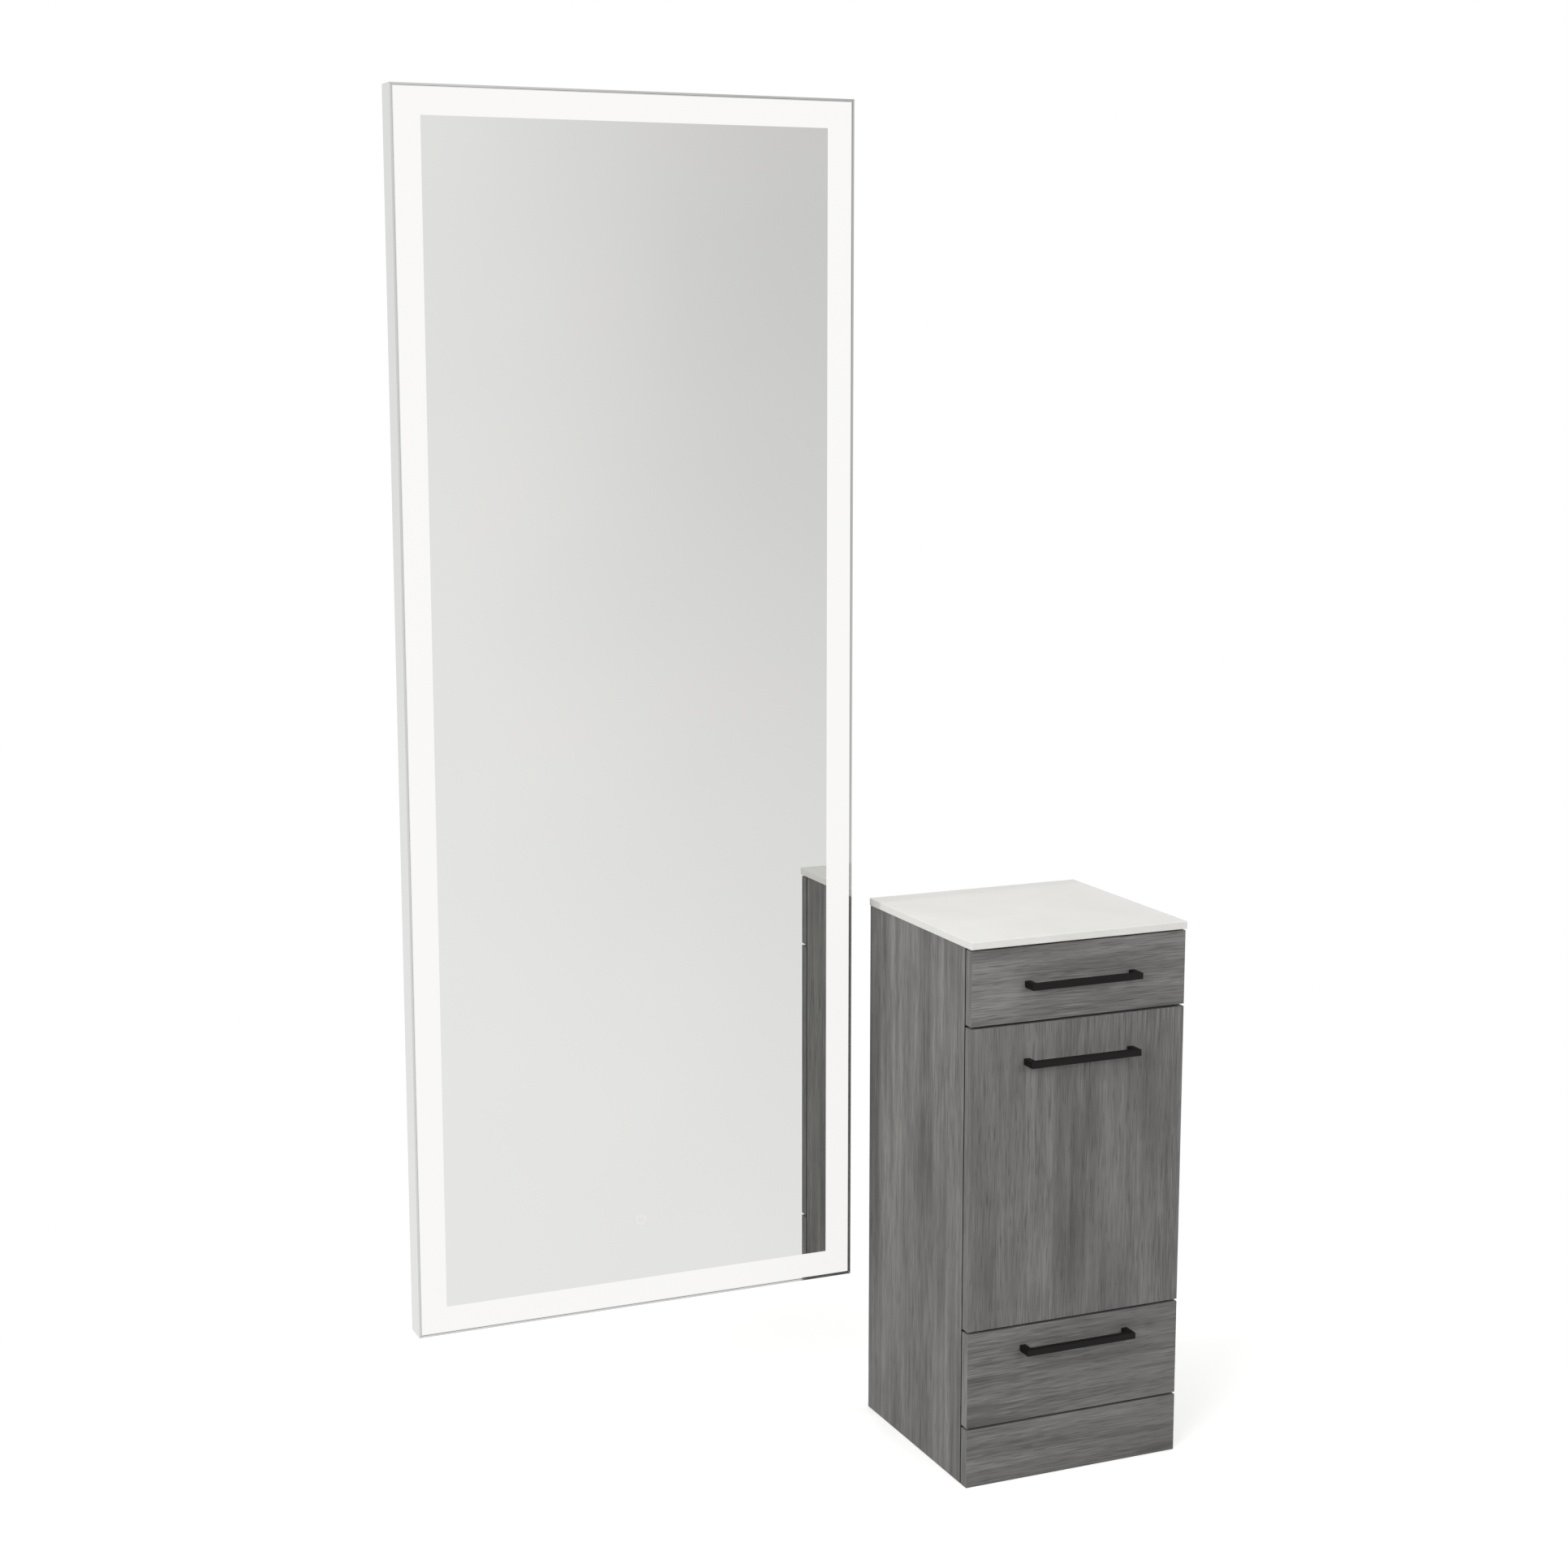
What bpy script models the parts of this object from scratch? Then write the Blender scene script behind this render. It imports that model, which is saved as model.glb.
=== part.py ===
"""Salon styling station: a narrow laminate tool cabinet and the lit mirror that hangs on the wall beside it.

Metres, +Z up, +Y towards the wall, +X to the right as seen from the front. The origin is on the floor, in the
middle of the set's width and depth. The wall itself isn't modelled: its face is the plane wall_y.
"""

import math

import bmesh
import bpy
from mathutils import Vector

# Clearances that the whole set shares
FIT_GAP = 0.0003
FRONT_GAP = 0.003
BUMPER_GAP = 0.0025
RUNNING_GAP = 0.0005

# The set
SET_GAP = 0.052
MIRROR_WIDTH = 0.711
MIRROR_HEIGHT = 1.829
MIRROR_DEPTH = 0.040
MIRROR_BASE_HEIGHT = 0.248
CABINET_WIDTH = 0.366
CABINET_DEPTH = 0.348
CABINET_HEIGHT = 0.850

# Cabinet panels
PANEL_THICKNESS = 0.018
FRONT_THICKNESS = 0.018
BACK_PANEL_THICKNESS = 0.006
WORKTOP_THICKNESS = 0.012
WORKTOP_OVERHANG = 0.002
WORKTOP_EDGE_RADIUS = 0.0012
FRONT_EDGE_CHAMFER = 0.0005
TOE_KICK_HEIGHT = 0.0918
BOTTOM_FRONT_HEIGHT = 0.1497
TOP_FRONT_HEIGHT = 0.1154
WORKTOP_REVEAL = 0.002

# Bar handles
HANDLE_LENGTH = 0.188
HANDLE_BAR = 0.010
HANDLE_PROJECTION = 0.027
HANDLE_ROUNDING = 0.001
TOP_HANDLE_HEIGHT = 0.058
DOOR_HANDLE_DROP = 0.058
BOTTOM_HANDLE_HEIGHT = 0.1157

# Drawer boxes and their ball-bearing slides
SLIDE_SPACE = 0.013
SLIDE_LENGTH = 0.300
SLIDE_HEIGHT = 0.045
SLIDE_STEEL = 0.0012
SLIDE_SETBACK = 0.002
BOX_DEPTH = 0.300
BOX_SIDE_THICKNESS = 0.012
BOX_BOTTOM_THICKNESS = 0.006
BOX_GROOVE_DEPTH = 0.005
BOX_GROOVE_HEIGHT = 0.010
BOX_FLOOR_CLEARANCE = 0.008
BOX_HEAD_CLEARANCE = 0.009
BOTTOM_BOX_HEAD_CLEARANCE = 0.0167

# Tilting door: it turns about its own lower front edge, as its links make it do
DOOR_TILT_DEG = 32.0
HINGE_STEEL = 0.002
HINGE_PIN_RADIUS = 0.0025
HINGE_PIN_HEAD_RADIUS = 0.0045
HINGE_PIN_HEAD = 0.001
LINK_FOOT_BACK = 0.010
LINK_FOOT_RISE = 0.022
LINK_SPAN = 0.048
LINK_WIDTH = 0.014
LINK_THICKNESS = 0.003
OPEN_PIVOT_PLAY = 0.0017
HINGE_PLATE_SIZE = 0.044
HINGE_TAB_INSET = 0.010
HINGE_FOOT_WIDTH = 0.024
HINGE_FOOT_HEIGHT = 0.034

# Slotted stay that stops the door
STAY_PIN_BACK = 0.012
STAY_PIN_RISE = 0.180
STAY_POST_RISE = 0.128
STAY_WIDTH = 0.013
STAY_THICKNESS = 0.002
STAY_PLATE_SIZE = 0.036

# Tool holder on the back of the door
SHELF_DROP = 0.1401
SHELF_DEPTH = 0.102
SHELF_STEEL = 0.0015
SHELF_FLANGE = 0.030
SHELF_LIP = 0.012
SHELF_SIDE_CLEARANCE = 0.022
CANISTER_COUNT = 3
CANISTER_RADIUS = 0.037
CANISTER_DEPTH = 0.165
CANISTER_STEEL = 0.0012
CANISTER_RIM = 0.004
CANISTER_FOOT_RADIUS = 0.006

# Mirror frame, glass and back
FRAME_WALL = 0.003
FRAME_STEEL = 0.002
FRAME_LEDGE = 0.014
FRAME_CORNER_GAP = 0.0003
GLASS_THICKNESS = 0.005
GLASS_SETBACK = 0.0003
GLASS_EDGE = 0.0006
BACK_RECESS = 0.008
BACK_PAN_THICKNESS = 0.0012

# Mirror light
LED_STRIP_WIDTH = 0.010
LED_STRIP_THICKNESS = 0.0012
DRIVER_SIZE = (0.180, 0.016, 0.042)
DRIVER_HEIGHT = 0.330
DRIVER_ROUNDING = 0.002
SENSOR_SIZE = 0.026
SENSOR_THICKNESS = 0.0016
SENSOR_HEIGHT = 0.138
INLET_OFFSET = 0.140
INLET_RADIUS = 0.006
INLET_FLANGE_RADIUS = 0.010
INLET_FLANGE = 0.0025
INLET_LEAD_RADIUS = 0.0035

# Hanging rails: two hooked strips, one on the wall and one on the mirror
RAIL_LENGTH = 0.480
RAIL_STEEL = 0.002
RAIL_DROP = 0.240
RAIL_HOOK = 0.012
RAIL_HOOK_ROOM = 0.002
RAIL_PLATE = 0.026
RAIL_HOLE_RADIUS = 0.003
RAIL_HOLE_PITCH = 0.150

# How round shapes are drawn
ROUND_SIDES = 32
PIN_SIDES = 16

# The set's outer sizes and its main planes
set_width = MIRROR_WIDTH + SET_GAP + CABINET_WIDTH + WORKTOP_OVERHANG
set_depth = CABINET_DEPTH + HANDLE_PROJECTION
wall_y = set_depth / 2
front_y = wall_y - CABINET_DEPTH
front_back_y = front_y + FRONT_THICKNESS
carcass_y = front_back_y + BUMPER_GAP
mirror_left = -set_width / 2
mirror_right = mirror_left + MIRROR_WIDTH
cabinet_left = mirror_right + SET_GAP
cabinet_right = cabinet_left + CABINET_WIDTH
cabinet_middle = (cabinet_left + cabinet_right) / 2
inside_left = cabinet_left + PANEL_THICKNESS
inside_right = cabinet_right - PANEL_THICKNESS
back_inside_y = wall_y - BACK_PANEL_THICKNESS

# Heights of the fronts: the drawers keep theirs, and the door between them takes up what is left
bottom_front_low = TOE_KICK_HEIGHT + FRONT_GAP
bottom_front_high = bottom_front_low + BOTTOM_FRONT_HEIGHT
worktop_low = CABINET_HEIGHT - WORKTOP_THICKNESS
top_front_high = worktop_low - WORKTOP_REVEAL
top_front_low = top_front_high - TOP_FRONT_HEIGHT
door_low = bottom_front_high + FRONT_GAP
door_high = top_front_low - FRONT_GAP

# The tilting door's axis
door_axis = Vector((cabinet_middle, front_y, door_low))


def clear_scene():
    for thing in list(bpy.data.objects):
        bpy.data.objects.remove(thing)


FINISHES = {
    "laminate": ((0.157, 0.153, 0.147), 0.55, 0.0),
    "white_board": ((0.78, 0.78, 0.76), 0.50, 0.0),
    "stone": ((0.77, 0.76, 0.73), 0.35, 0.0),
    "black_metal": ((0.019, 0.018, 0.016), 0.38, 0.4),
    "zinc_steel": ((0.56, 0.57, 0.58), 0.35, 1.0),
    "canister_steel": ((0.60, 0.60, 0.60), 0.25, 1.0),
    "aluminium": ((0.72, 0.72, 0.71), 0.20, 1.0),
    "mirror_glass": ((0.75, 0.75, 0.75), 0.03, 1.0),
    "white_steel": ((0.80, 0.80, 0.79), 0.45, 0.0),
    "led_tape": ((0.90, 0.89, 0.84), 0.40, 0.0),
    "white_plastic": ((0.82, 0.82, 0.81), 0.45, 0.0),
    "circuit_board": ((0.05, 0.16, 0.08), 0.45, 0.0),
    "black_rubber": ((0.02, 0.02, 0.02), 0.70, 0.0),
}


def finish(name, kind):
    """Gives one piece a material of its own, in one of the set's finishes."""
    colour, roughness, metallic = FINISHES[kind]
    material = bpy.data.materials.new(name + "_" + kind)
    material.use_nodes = True
    shader = material.node_tree.nodes["Principled BSDF"]
    shader.inputs["Base Color"].default_value = (*colour, 1.0)
    shader.inputs["Roughness"].default_value = roughness
    shader.inputs["Metallic"].default_value = metallic
    return material


def carrier(name, place):
    """An empty on a moving group's axis, which its pieces hang from."""
    empty = bpy.data.objects.new(name, None)
    empty.location = place
    empty.empty_display_size = 0.05
    bpy.context.collection.objects.link(empty)
    return empty


def settle(name, bm, kind, group=None, smooth_deg=None):
    """Turns a shape drawn at its place in the room into an object whose origin is its own middle."""
    bmesh.ops.recalc_face_normals(bm, faces=bm.faces)
    low = Vector([min(v.co[i] for v in bm.verts) for i in range(3)])
    high = Vector([max(v.co[i] for v in bm.verts) for i in range(3)])
    middle = (low + high) / 2
    bmesh.ops.translate(bm, verts=bm.verts, vec=-middle)
    mesh = bpy.data.meshes.new(name)
    bm.to_mesh(mesh)
    bm.free()
    if smooth_deg:
        mesh.shade_smooth()
        mesh.set_sharp_from_angle(angle=math.radians(smooth_deg))
    piece = bpy.data.objects.new(name, mesh)
    bpy.context.collection.objects.link(piece)
    piece.location = middle
    if group:
        piece.parent = group
        piece.location = middle - group.location
    if kind:
        mesh.materials.append(finish(name, kind))
    return piece


def block(low, high):
    """A rectangular block between two corners."""
    bm = bmesh.new()
    bmesh.ops.create_cube(bm, size=1.0)
    low, high = Vector(low), Vector(high)
    bmesh.ops.scale(bm, vec=high - low, verts=bm.verts)
    bmesh.ops.translate(bm, vec=(low + high) / 2, verts=bm.verts)
    return bm


def prism(outline, along, low, high):
    """An outline in the plane across one axis, drawn out along that axis from low to high."""
    bm = bmesh.new()
    order = {"x": (2, 0, 1), "y": (0, 2, 1), "z": (0, 1, 2)}[along]

    def corner(first, second, depth):
        values = (first, second, depth)
        return bm.verts.new([values[i] for i in order])

    near = [corner(a, b, low) for a, b in outline]
    far = [corner(a, b, high) for a, b in outline]
    bm.faces.new(near)
    bm.faces.new(far)
    for i in range(len(outline)):
        j = (i + 1) % len(outline)
        bm.faces.new((near[i], near[j], far[j], far[i]))
    return bm


def turned(profile, centre, along, sides):
    """A closed profile of (radius, distance along the axis) points, turned about an axis through centre."""
    bm = bmesh.new()
    first = {"x": Vector((0, 1, 0)), "y": Vector((0, 0, 1)), "z": Vector((1, 0, 0))}[along]
    axis = {"x": Vector((1, 0, 0)), "y": Vector((0, 1, 0)), "z": Vector((0, 0, 1))}[along]
    second = axis.cross(first)
    centre = Vector(centre)
    rings = []
    for radius, height in profile:
        if radius == 0:
            rings.append([bm.verts.new(centre + axis * height)])
            continue
        ring = []
        for k in range(sides):
            angle = 2 * math.pi * k / sides
            offset = first * math.cos(angle) + second * math.sin(angle)
            ring.append(bm.verts.new(centre + axis * height + offset * radius))
        rings.append(ring)
    count = len(rings)
    for i in range(count):
        here, there = rings[i], rings[(i + 1) % count]
        if len(here) == 1 and len(there) == 1:
            continue
        for k in range(sides):
            n = (k + 1) % sides
            if len(here) == 1:
                bm.faces.new((here[0], there[n], there[k]))
            elif len(there) == 1:
                bm.faces.new((here[k], here[n], there[0]))
            else:
                bm.faces.new((here[k], here[n], there[n], there[k]))
    return bm


def rod(centre, along, radius, low, high, sides=PIN_SIDES):
    """A round bar along one axis, from low to high measured from its centre."""
    return turned([(0, low), (radius, low), (radius, high), (0, high)], centre, along, sides)


def capsule(start, end, radius, steps=8):
    """The outline round two points: straight sides and half-round ends."""
    start, end = Vector(start), Vector(end)
    along = (end - start).normalized()
    heading = math.atan2(along.y, along.x)
    points = []
    for centre, turn in ((end, -math.pi / 2), (start, math.pi / 2)):
        for k in range(steps + 1):
            angle = heading + turn + math.pi * k / steps
            points.append((centre.x + radius * math.cos(angle), centre.y + radius * math.sin(angle)))
    return points


def combine(piece, bm, operation):
    """Cuts a helper shape out of a piece, or joins it on."""
    helper = settle(piece.name + "_helper", bm, None)
    helper.hide_render = True
    helper.display_type = "WIRE"
    change = piece.modifiers.new(operation.lower(), "BOOLEAN")
    change.operation = operation
    change.solver = "EXACT"
    change.object = helper


def ease(piece, width, segments=1):
    """Rounds a piece's sharp edges, or chamfers them with one segment."""
    bevel = piece.modifiers.new("eased_edges", "BEVEL")
    bevel.width = width
    bevel.segments = segments
    bevel.limit_method = "ANGLE"
    bevel.angle_limit = math.radians(40)


def panel(name, low, high, kind, group=None, edge=0.0, segments=1):
    piece = settle(name, block(low, high), kind, group)
    if edge:
        ease(piece, edge, segments)
    return piece


def turned_point(point, degrees):
    """A (y, z) point measured from the door's axis, after the door has tilted by some degrees."""
    angle = math.radians(degrees)
    y, z = point
    return Vector((y * math.cos(angle) - z * math.sin(angle), y * math.sin(angle) + z * math.cos(angle)))


def cabinet_panels():
    """Side panels, dividers, back, toe kick and worktop."""
    gap = FIT_GAP
    for side, low_x in (("left", cabinet_left), ("right", inside_right)):
        panel(
            side + "_side_panel",
            (low_x, carcass_y, 0),
            (low_x + PANEL_THICKNESS, wall_y, worktop_low - gap),
            "laminate",
        )
    # The bottom panel comes forward to carry the toe kick; the rest stop short, behind the fronts' bumpers
    shelves = (
        ("bottom_panel", front_back_y + gap, TOE_KICK_HEIGHT + (FRONT_GAP - PANEL_THICKNESS) / 2),
        ("lower_divider", carcass_y, bottom_front_high + (FRONT_GAP - PANEL_THICKNESS) / 2),
        ("upper_divider", carcass_y, door_high + (FRONT_GAP - PANEL_THICKNESS) / 2),
        ("top_panel", carcass_y, worktop_low - gap - PANEL_THICKNESS),
    )
    for name, low_y, low_z in shelves:
        panel(
            name,
            (inside_left + gap, low_y, low_z),
            (inside_right - gap, back_inside_y - gap, low_z + PANEL_THICKNESS),
            "white_board",
        )
    panel(
        "back_panel",
        (inside_left + gap, back_inside_y, 0),
        (inside_right - gap, wall_y, worktop_low - gap),
        "white_board",
    )
    panel(
        "toe_kick_panel",
        (cabinet_left, front_y, 0),
        (cabinet_right, front_back_y, TOE_KICK_HEIGHT),
        "laminate",
        edge=FRONT_EDGE_CHAMFER,
    )
    panel(
        "worktop",
        (cabinet_left - WORKTOP_OVERHANG, front_y - WORKTOP_OVERHANG, worktop_low),
        (cabinet_right + WORKTOP_OVERHANG, wall_y, CABINET_HEIGHT),
        "stone",
        edge=WORKTOP_EDGE_RADIUS,
        segments=2,
    )


def bar_handle(name, height, group):
    """A square bar with a square leg at each end, standing off a front."""
    near = front_y - FIT_GAP
    tip = front_y - HANDLE_PROJECTION
    half = HANDLE_LENGTH / 2
    outline = [
        (cabinet_middle - half, near),
        (cabinet_middle - half, tip),
        (cabinet_middle + half, tip),
        (cabinet_middle + half, near),
        (cabinet_middle + half - HANDLE_BAR, near),
        (cabinet_middle + half - HANDLE_BAR, tip + HANDLE_BAR),
        (cabinet_middle - half + HANDLE_BAR, tip + HANDLE_BAR),
        (cabinet_middle - half + HANDLE_BAR, near),
    ]
    shape = prism(outline, "z", height - HANDLE_BAR / 2, height + HANDLE_BAR / 2)
    handle = settle(name, shape, "black_metal", group)
    ease(handle, HANDLE_ROUNDING, 2)


def channel(web, tips, half_height, steel):
    """A slide member's C section in (x, z): its web at one x and its flange tips at another."""
    toward = 1 if tips > web else -1
    return [
        (web, -half_height),
        (tips, -half_height),
        (tips, -half_height + steel),
        (web + toward * steel, -half_height + steel),
        (web + toward * steel, half_height - steel),
        (tips, half_height - steel),
        (tips, half_height),
        (web, half_height),
    ]


def slide(prefix, side, height, drawer, middles):
    """One ball-bearing slide: three nested channels that run on each other with a small running gap."""
    sign = 1 if side == "left" else -1
    wall_x = inside_left if side == "left" else inside_right
    step = SLIDE_STEEL + RUNNING_GAP
    outer_half = SLIDE_HEIGHT / 2
    members = (
        ("outer", FIT_GAP, SLIDE_SPACE - step, outer_half, None),
        ("middle", FIT_GAP + step, SLIDE_SPACE - FIT_GAP - step, outer_half - step, middles),
        ("inner", SLIDE_SPACE - FIT_GAP, FIT_GAP + 2 * step, outer_half - 2 * step, drawer),
    )
    low_y = carcass_y + SLIDE_SETBACK
    for member, web, tips, half_height, group in members:
        section = channel(wall_x + sign * web, wall_x + sign * tips, half_height, SLIDE_STEEL)
        outline = [(x, height + z) for x, z in section]
        shape = prism(outline, "y", low_y, low_y + SLIDE_LENGTH)
        settle(f"{prefix}_slide_{member}_{side}", shape, "zinc_steel", group)


def drawer_box(prefix, floor_z, top_z, front_low, front_high, handle_z):
    """A drawer: laminate front, white box of four boards, bar handle and its pair of slides."""
    gap = FIT_GAP
    middle_z = (floor_z + top_z) / 2
    place = Vector((cabinet_middle, front_back_y, middle_z))
    drawer = carrier(prefix + "_drawer_carrier", place)
    middles = carrier(prefix + "_slide_middles_carrier", place)
    panel(
        prefix + "_drawer_front",
        (cabinet_left, front_y, front_low),
        (cabinet_right, front_back_y, front_high),
        "laminate",
        drawer,
        edge=FRONT_EDGE_CHAMFER,
    )
    low_y = front_back_y + gap
    high_y = low_y + BOX_DEPTH
    groove_low = floor_z + BOX_GROOVE_HEIGHT
    groove_high = groove_low + BOX_BOTTOM_THICKNESS + 2 * gap
    for side, outer, sign in (
        ("left", inside_left + SLIDE_SPACE, 1),
        ("right", inside_right - SLIDE_SPACE, -1),
    ):
        inner = outer + sign * BOX_SIDE_THICKNESS
        groove = inner - sign * BOX_GROOVE_DEPTH
        outline = [
            (outer, floor_z),
            (inner, floor_z),
            (inner, groove_low),
            (groove, groove_low),
            (groove, groove_high),
            (inner, groove_high),
            (inner, top_z),
            (outer, top_z),
        ]
        shape = prism(outline, "y", low_y, high_y)
        settle(f"{prefix}_drawer_{side}_side", shape, "white_board", drawer)
        slide(prefix, side, middle_z, drawer, middles)
    inner_left = inside_left + SLIDE_SPACE + BOX_SIDE_THICKNESS
    inner_right = inside_right - SLIDE_SPACE - BOX_SIDE_THICKNESS
    reach = BOX_GROOVE_DEPTH - gap
    panel(
        prefix + "_drawer_bottom",
        (inner_left - reach, low_y, groove_low + gap),
        (inner_right + reach, high_y, groove_high - gap),
        "white_board",
        drawer,
    )
    panel(
        prefix + "_drawer_back",
        (inner_left + gap, high_y - BOX_SIDE_THICKNESS, groove_high),
        (inner_right - gap, high_y, top_z),
        "white_board",
        drawer,
    )
    bar_handle(prefix + "_drawer_handle", handle_z, drawer)


def link_geometry():
    """The link's foot on the door, its post on the carcass and its length, measured from the door's axis.

    The foot's pin runs on an arc about the door's axis, and the link's end on an arc about the post. The post
    stands on the line that halves the foot pin's chord, so the arcs meet in direction, and the link is
    shortened by half of what the two arcs bulge apart, so its end stays as near the pin as one link allows.
    """
    foot = Vector((FRONT_THICKNESS + LINK_FOOT_BACK, LINK_FOOT_RISE))
    last = turned_point(foot, DOOR_TILT_DEG)
    chord = last - foot
    square = Vector((-chord.y, chord.x)).normalized()
    if square.y < 0:
        square = -square
    post = (foot + last) / 2 + square * LINK_SPAN
    full = (post - foot).length
    bulge = foot.length - (foot + last).length / 2 + full - LINK_SPAN
    return foot, post, full - bulge / 2


def hinges(door, links):
    """At each side a plate on the carcass, a link, and a bracket on the door."""
    foot, post, length = link_geometry()
    place = Vector((front_y, door_low))
    foot_at, post_at = foot + place, post + place
    reach = (foot_at - post_at).normalized() * length
    for side, wall_x, sign in (("left", inside_left, 1), ("right", inside_right, -1)):

        def across(low, high):
            """Two distances from the side panel, as x values in rising order."""
            return sorted((wall_x + sign * low, wall_x + sign * high))

        plate_face = FIT_GAP + HINGE_STEEL
        link_near = plate_face + RUNNING_GAP
        link_far = link_near + LINK_THICKNESS
        head_near = link_far + RUNNING_GAP
        half = HINGE_PLATE_SIZE / 2
        low_x, high_x = across(FIT_GAP, plate_face)
        plate = settle(
            "door_hinge_plate_" + side,
            block((low_x, post_at.x - half, post_at.y - half), (high_x, post_at.x + half, post_at.y + half)),
            "zinc_steel",
        )
        middle_x = (low_x + high_x) / 2
        pin_low, pin_high = across(plate_face - HINGE_STEEL / 2, head_near + HINGE_PIN_HEAD)
        head_low, head_high = across(head_near, head_near + HINGE_PIN_HEAD)
        near_x, far_x = (head_low, pin_low) if sign > 0 else (head_high, pin_high)
        tip_x = head_high if sign > 0 else head_low
        post_profile = [
            (0, far_x - middle_x),
            (HINGE_PIN_RADIUS, far_x - middle_x),
            (HINGE_PIN_RADIUS, near_x - middle_x),
            (HINGE_PIN_HEAD_RADIUS, near_x - middle_x),
            (HINGE_PIN_HEAD_RADIUS, tip_x - middle_x),
            (0, tip_x - middle_x),
        ]
        combine(plate, turned(post_profile, (middle_x, post_at.x, post_at.y), "x", PIN_SIDES), "UNION")

        low_x, high_x = across(link_near, link_far)
        link = settle(
            "door_link_" + side,
            prism(capsule(post_at, post_at + reach, LINK_WIDTH / 2), "x", low_x, high_x),
            "zinc_steel",
            links,
        )
        middle_x = (low_x + high_x) / 2
        cutter = LINK_THICKNESS
        post_hole = HINGE_PIN_RADIUS + FIT_GAP
        combine(link, rod((middle_x, post_at.x, post_at.y), "x", post_hole, -cutter, cutter), "DIFFERENCE")
        foot_centre = post_at + reach
        foot_hole = HINGE_PIN_RADIUS + OPEN_PIVOT_PLAY
        combine(link, rod((middle_x, foot_centre.x, foot_centre.y), "x", foot_hole, -cutter, cutter), "DIFFERENCE")

        tab_near = link_far + HINGE_TAB_INSET - LINK_THICKNESS
        tab_far = tab_near + HINGE_STEEL
        door_face = front_back_y + FIT_GAP
        low_z = foot_at.y - LINK_WIDTH / 2
        high_z = low_z + HINGE_FOOT_HEIGHT
        low_x, high_x = across(tab_near, tab_near + HINGE_FOOT_WIDTH)
        bracket = settle(
            "door_hinge_bracket_" + side,
            block((low_x, door_face, low_z), (high_x, door_face + HINGE_STEEL, high_z)),
            "zinc_steel",
            door,
        )
        low_x, high_x = across(tab_near, tab_far)
        tab = block(
            (low_x, door_face + HINGE_STEEL / 2, low_z),
            (high_x, foot_at.x + LINK_WIDTH / 2, foot_at.y + LINK_WIDTH / 2),
        )
        combine(bracket, tab, "UNION")
        low_x, high_x = across(link_near, tab_near + HINGE_STEEL / 2)
        combine(bracket, rod((0, foot_at.x, foot_at.y), "x", HINGE_PIN_RADIUS, low_x, high_x), "UNION")


def stay(door, arm_carrier, door_pin, post):
    """The slotted arm at the right, which is pinned to the door and slides over a post on the carcass."""
    wall_x = inside_right
    plate_face = wall_x - FIT_GAP - HINGE_STEEL
    arm_high = plate_face - RUNNING_GAP
    arm_low = arm_high - STAY_THICKNESS
    head_high = arm_low - RUNNING_GAP
    head_low = head_high - HINGE_PIN_HEAD
    half = STAY_PLATE_SIZE / 2
    plate = settle(
        "stay_post_plate",
        block((plate_face, post.x - half, post.y - half), (wall_x - FIT_GAP, post.x + half, post.y + half)),
        "zinc_steel",
    )
    post_profile = [
        (0, plate_face + HINGE_STEEL / 2),
        (HINGE_PIN_RADIUS, plate_face + HINGE_STEEL / 2),
        (HINGE_PIN_RADIUS, head_high),
        (HINGE_PIN_HEAD_RADIUS, head_high),
        (HINGE_PIN_HEAD_RADIUS, head_low),
        (0, head_low),
    ]
    combine(plate, turned(post_profile, (0, post.x, post.y), "x", PIN_SIDES), "UNION")

    along = (post - door_pin).normalized()
    last_pin = turned_point(door_pin - Vector((front_y, door_low)), DOOR_TILT_DEG)
    longest = (post - last_pin - Vector((front_y, door_low))).length
    shortest = (post - door_pin).length
    hole = HINGE_PIN_RADIUS + FIT_GAP
    arm_end = door_pin + along * (longest + FIT_GAP)
    arm = settle(
        "stay_arm",
        prism(capsule(door_pin, arm_end, STAY_WIDTH / 2), "x", arm_low, arm_high),
        "zinc_steel",
        arm_carrier,
    )
    cutter = STAY_THICKNESS
    combine(arm, rod((0, door_pin.x, door_pin.y), "x", hole, arm_low - cutter, arm_high + cutter), "DIFFERENCE")
    slot_start = door_pin + along * (shortest - FIT_GAP)
    slot = prism(capsule(slot_start, arm_end, hole), "x", arm_low - cutter, arm_high + cutter)
    combine(arm, slot, "DIFFERENCE")

    tab_high = arm_low - RUNNING_GAP
    tab_low = tab_high - HINGE_STEEL
    door_face = front_back_y + FIT_GAP
    low_z = door_pin.y - HINGE_FOOT_HEIGHT / 2
    high_z = door_pin.y + HINGE_FOOT_HEIGHT / 2
    bracket = settle(
        "stay_door_bracket",
        block((tab_high - HINGE_FOOT_WIDTH, door_face, low_z), (tab_high, door_face + HINGE_STEEL, high_z)),
        "zinc_steel",
        door,
    )
    tab = block(
        (tab_low, door_face + HINGE_STEEL / 2, door_pin.y - STAY_WIDTH / 2),
        (tab_high, door_pin.x + STAY_WIDTH / 2, door_pin.y + STAY_WIDTH / 2),
    )
    combine(bracket, tab, "UNION")
    pin = rod((0, door_pin.x, door_pin.y), "x", HINGE_PIN_RADIUS, tab_high - HINGE_STEEL / 2, arm_high)
    combine(bracket, pin, "UNION")


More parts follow.
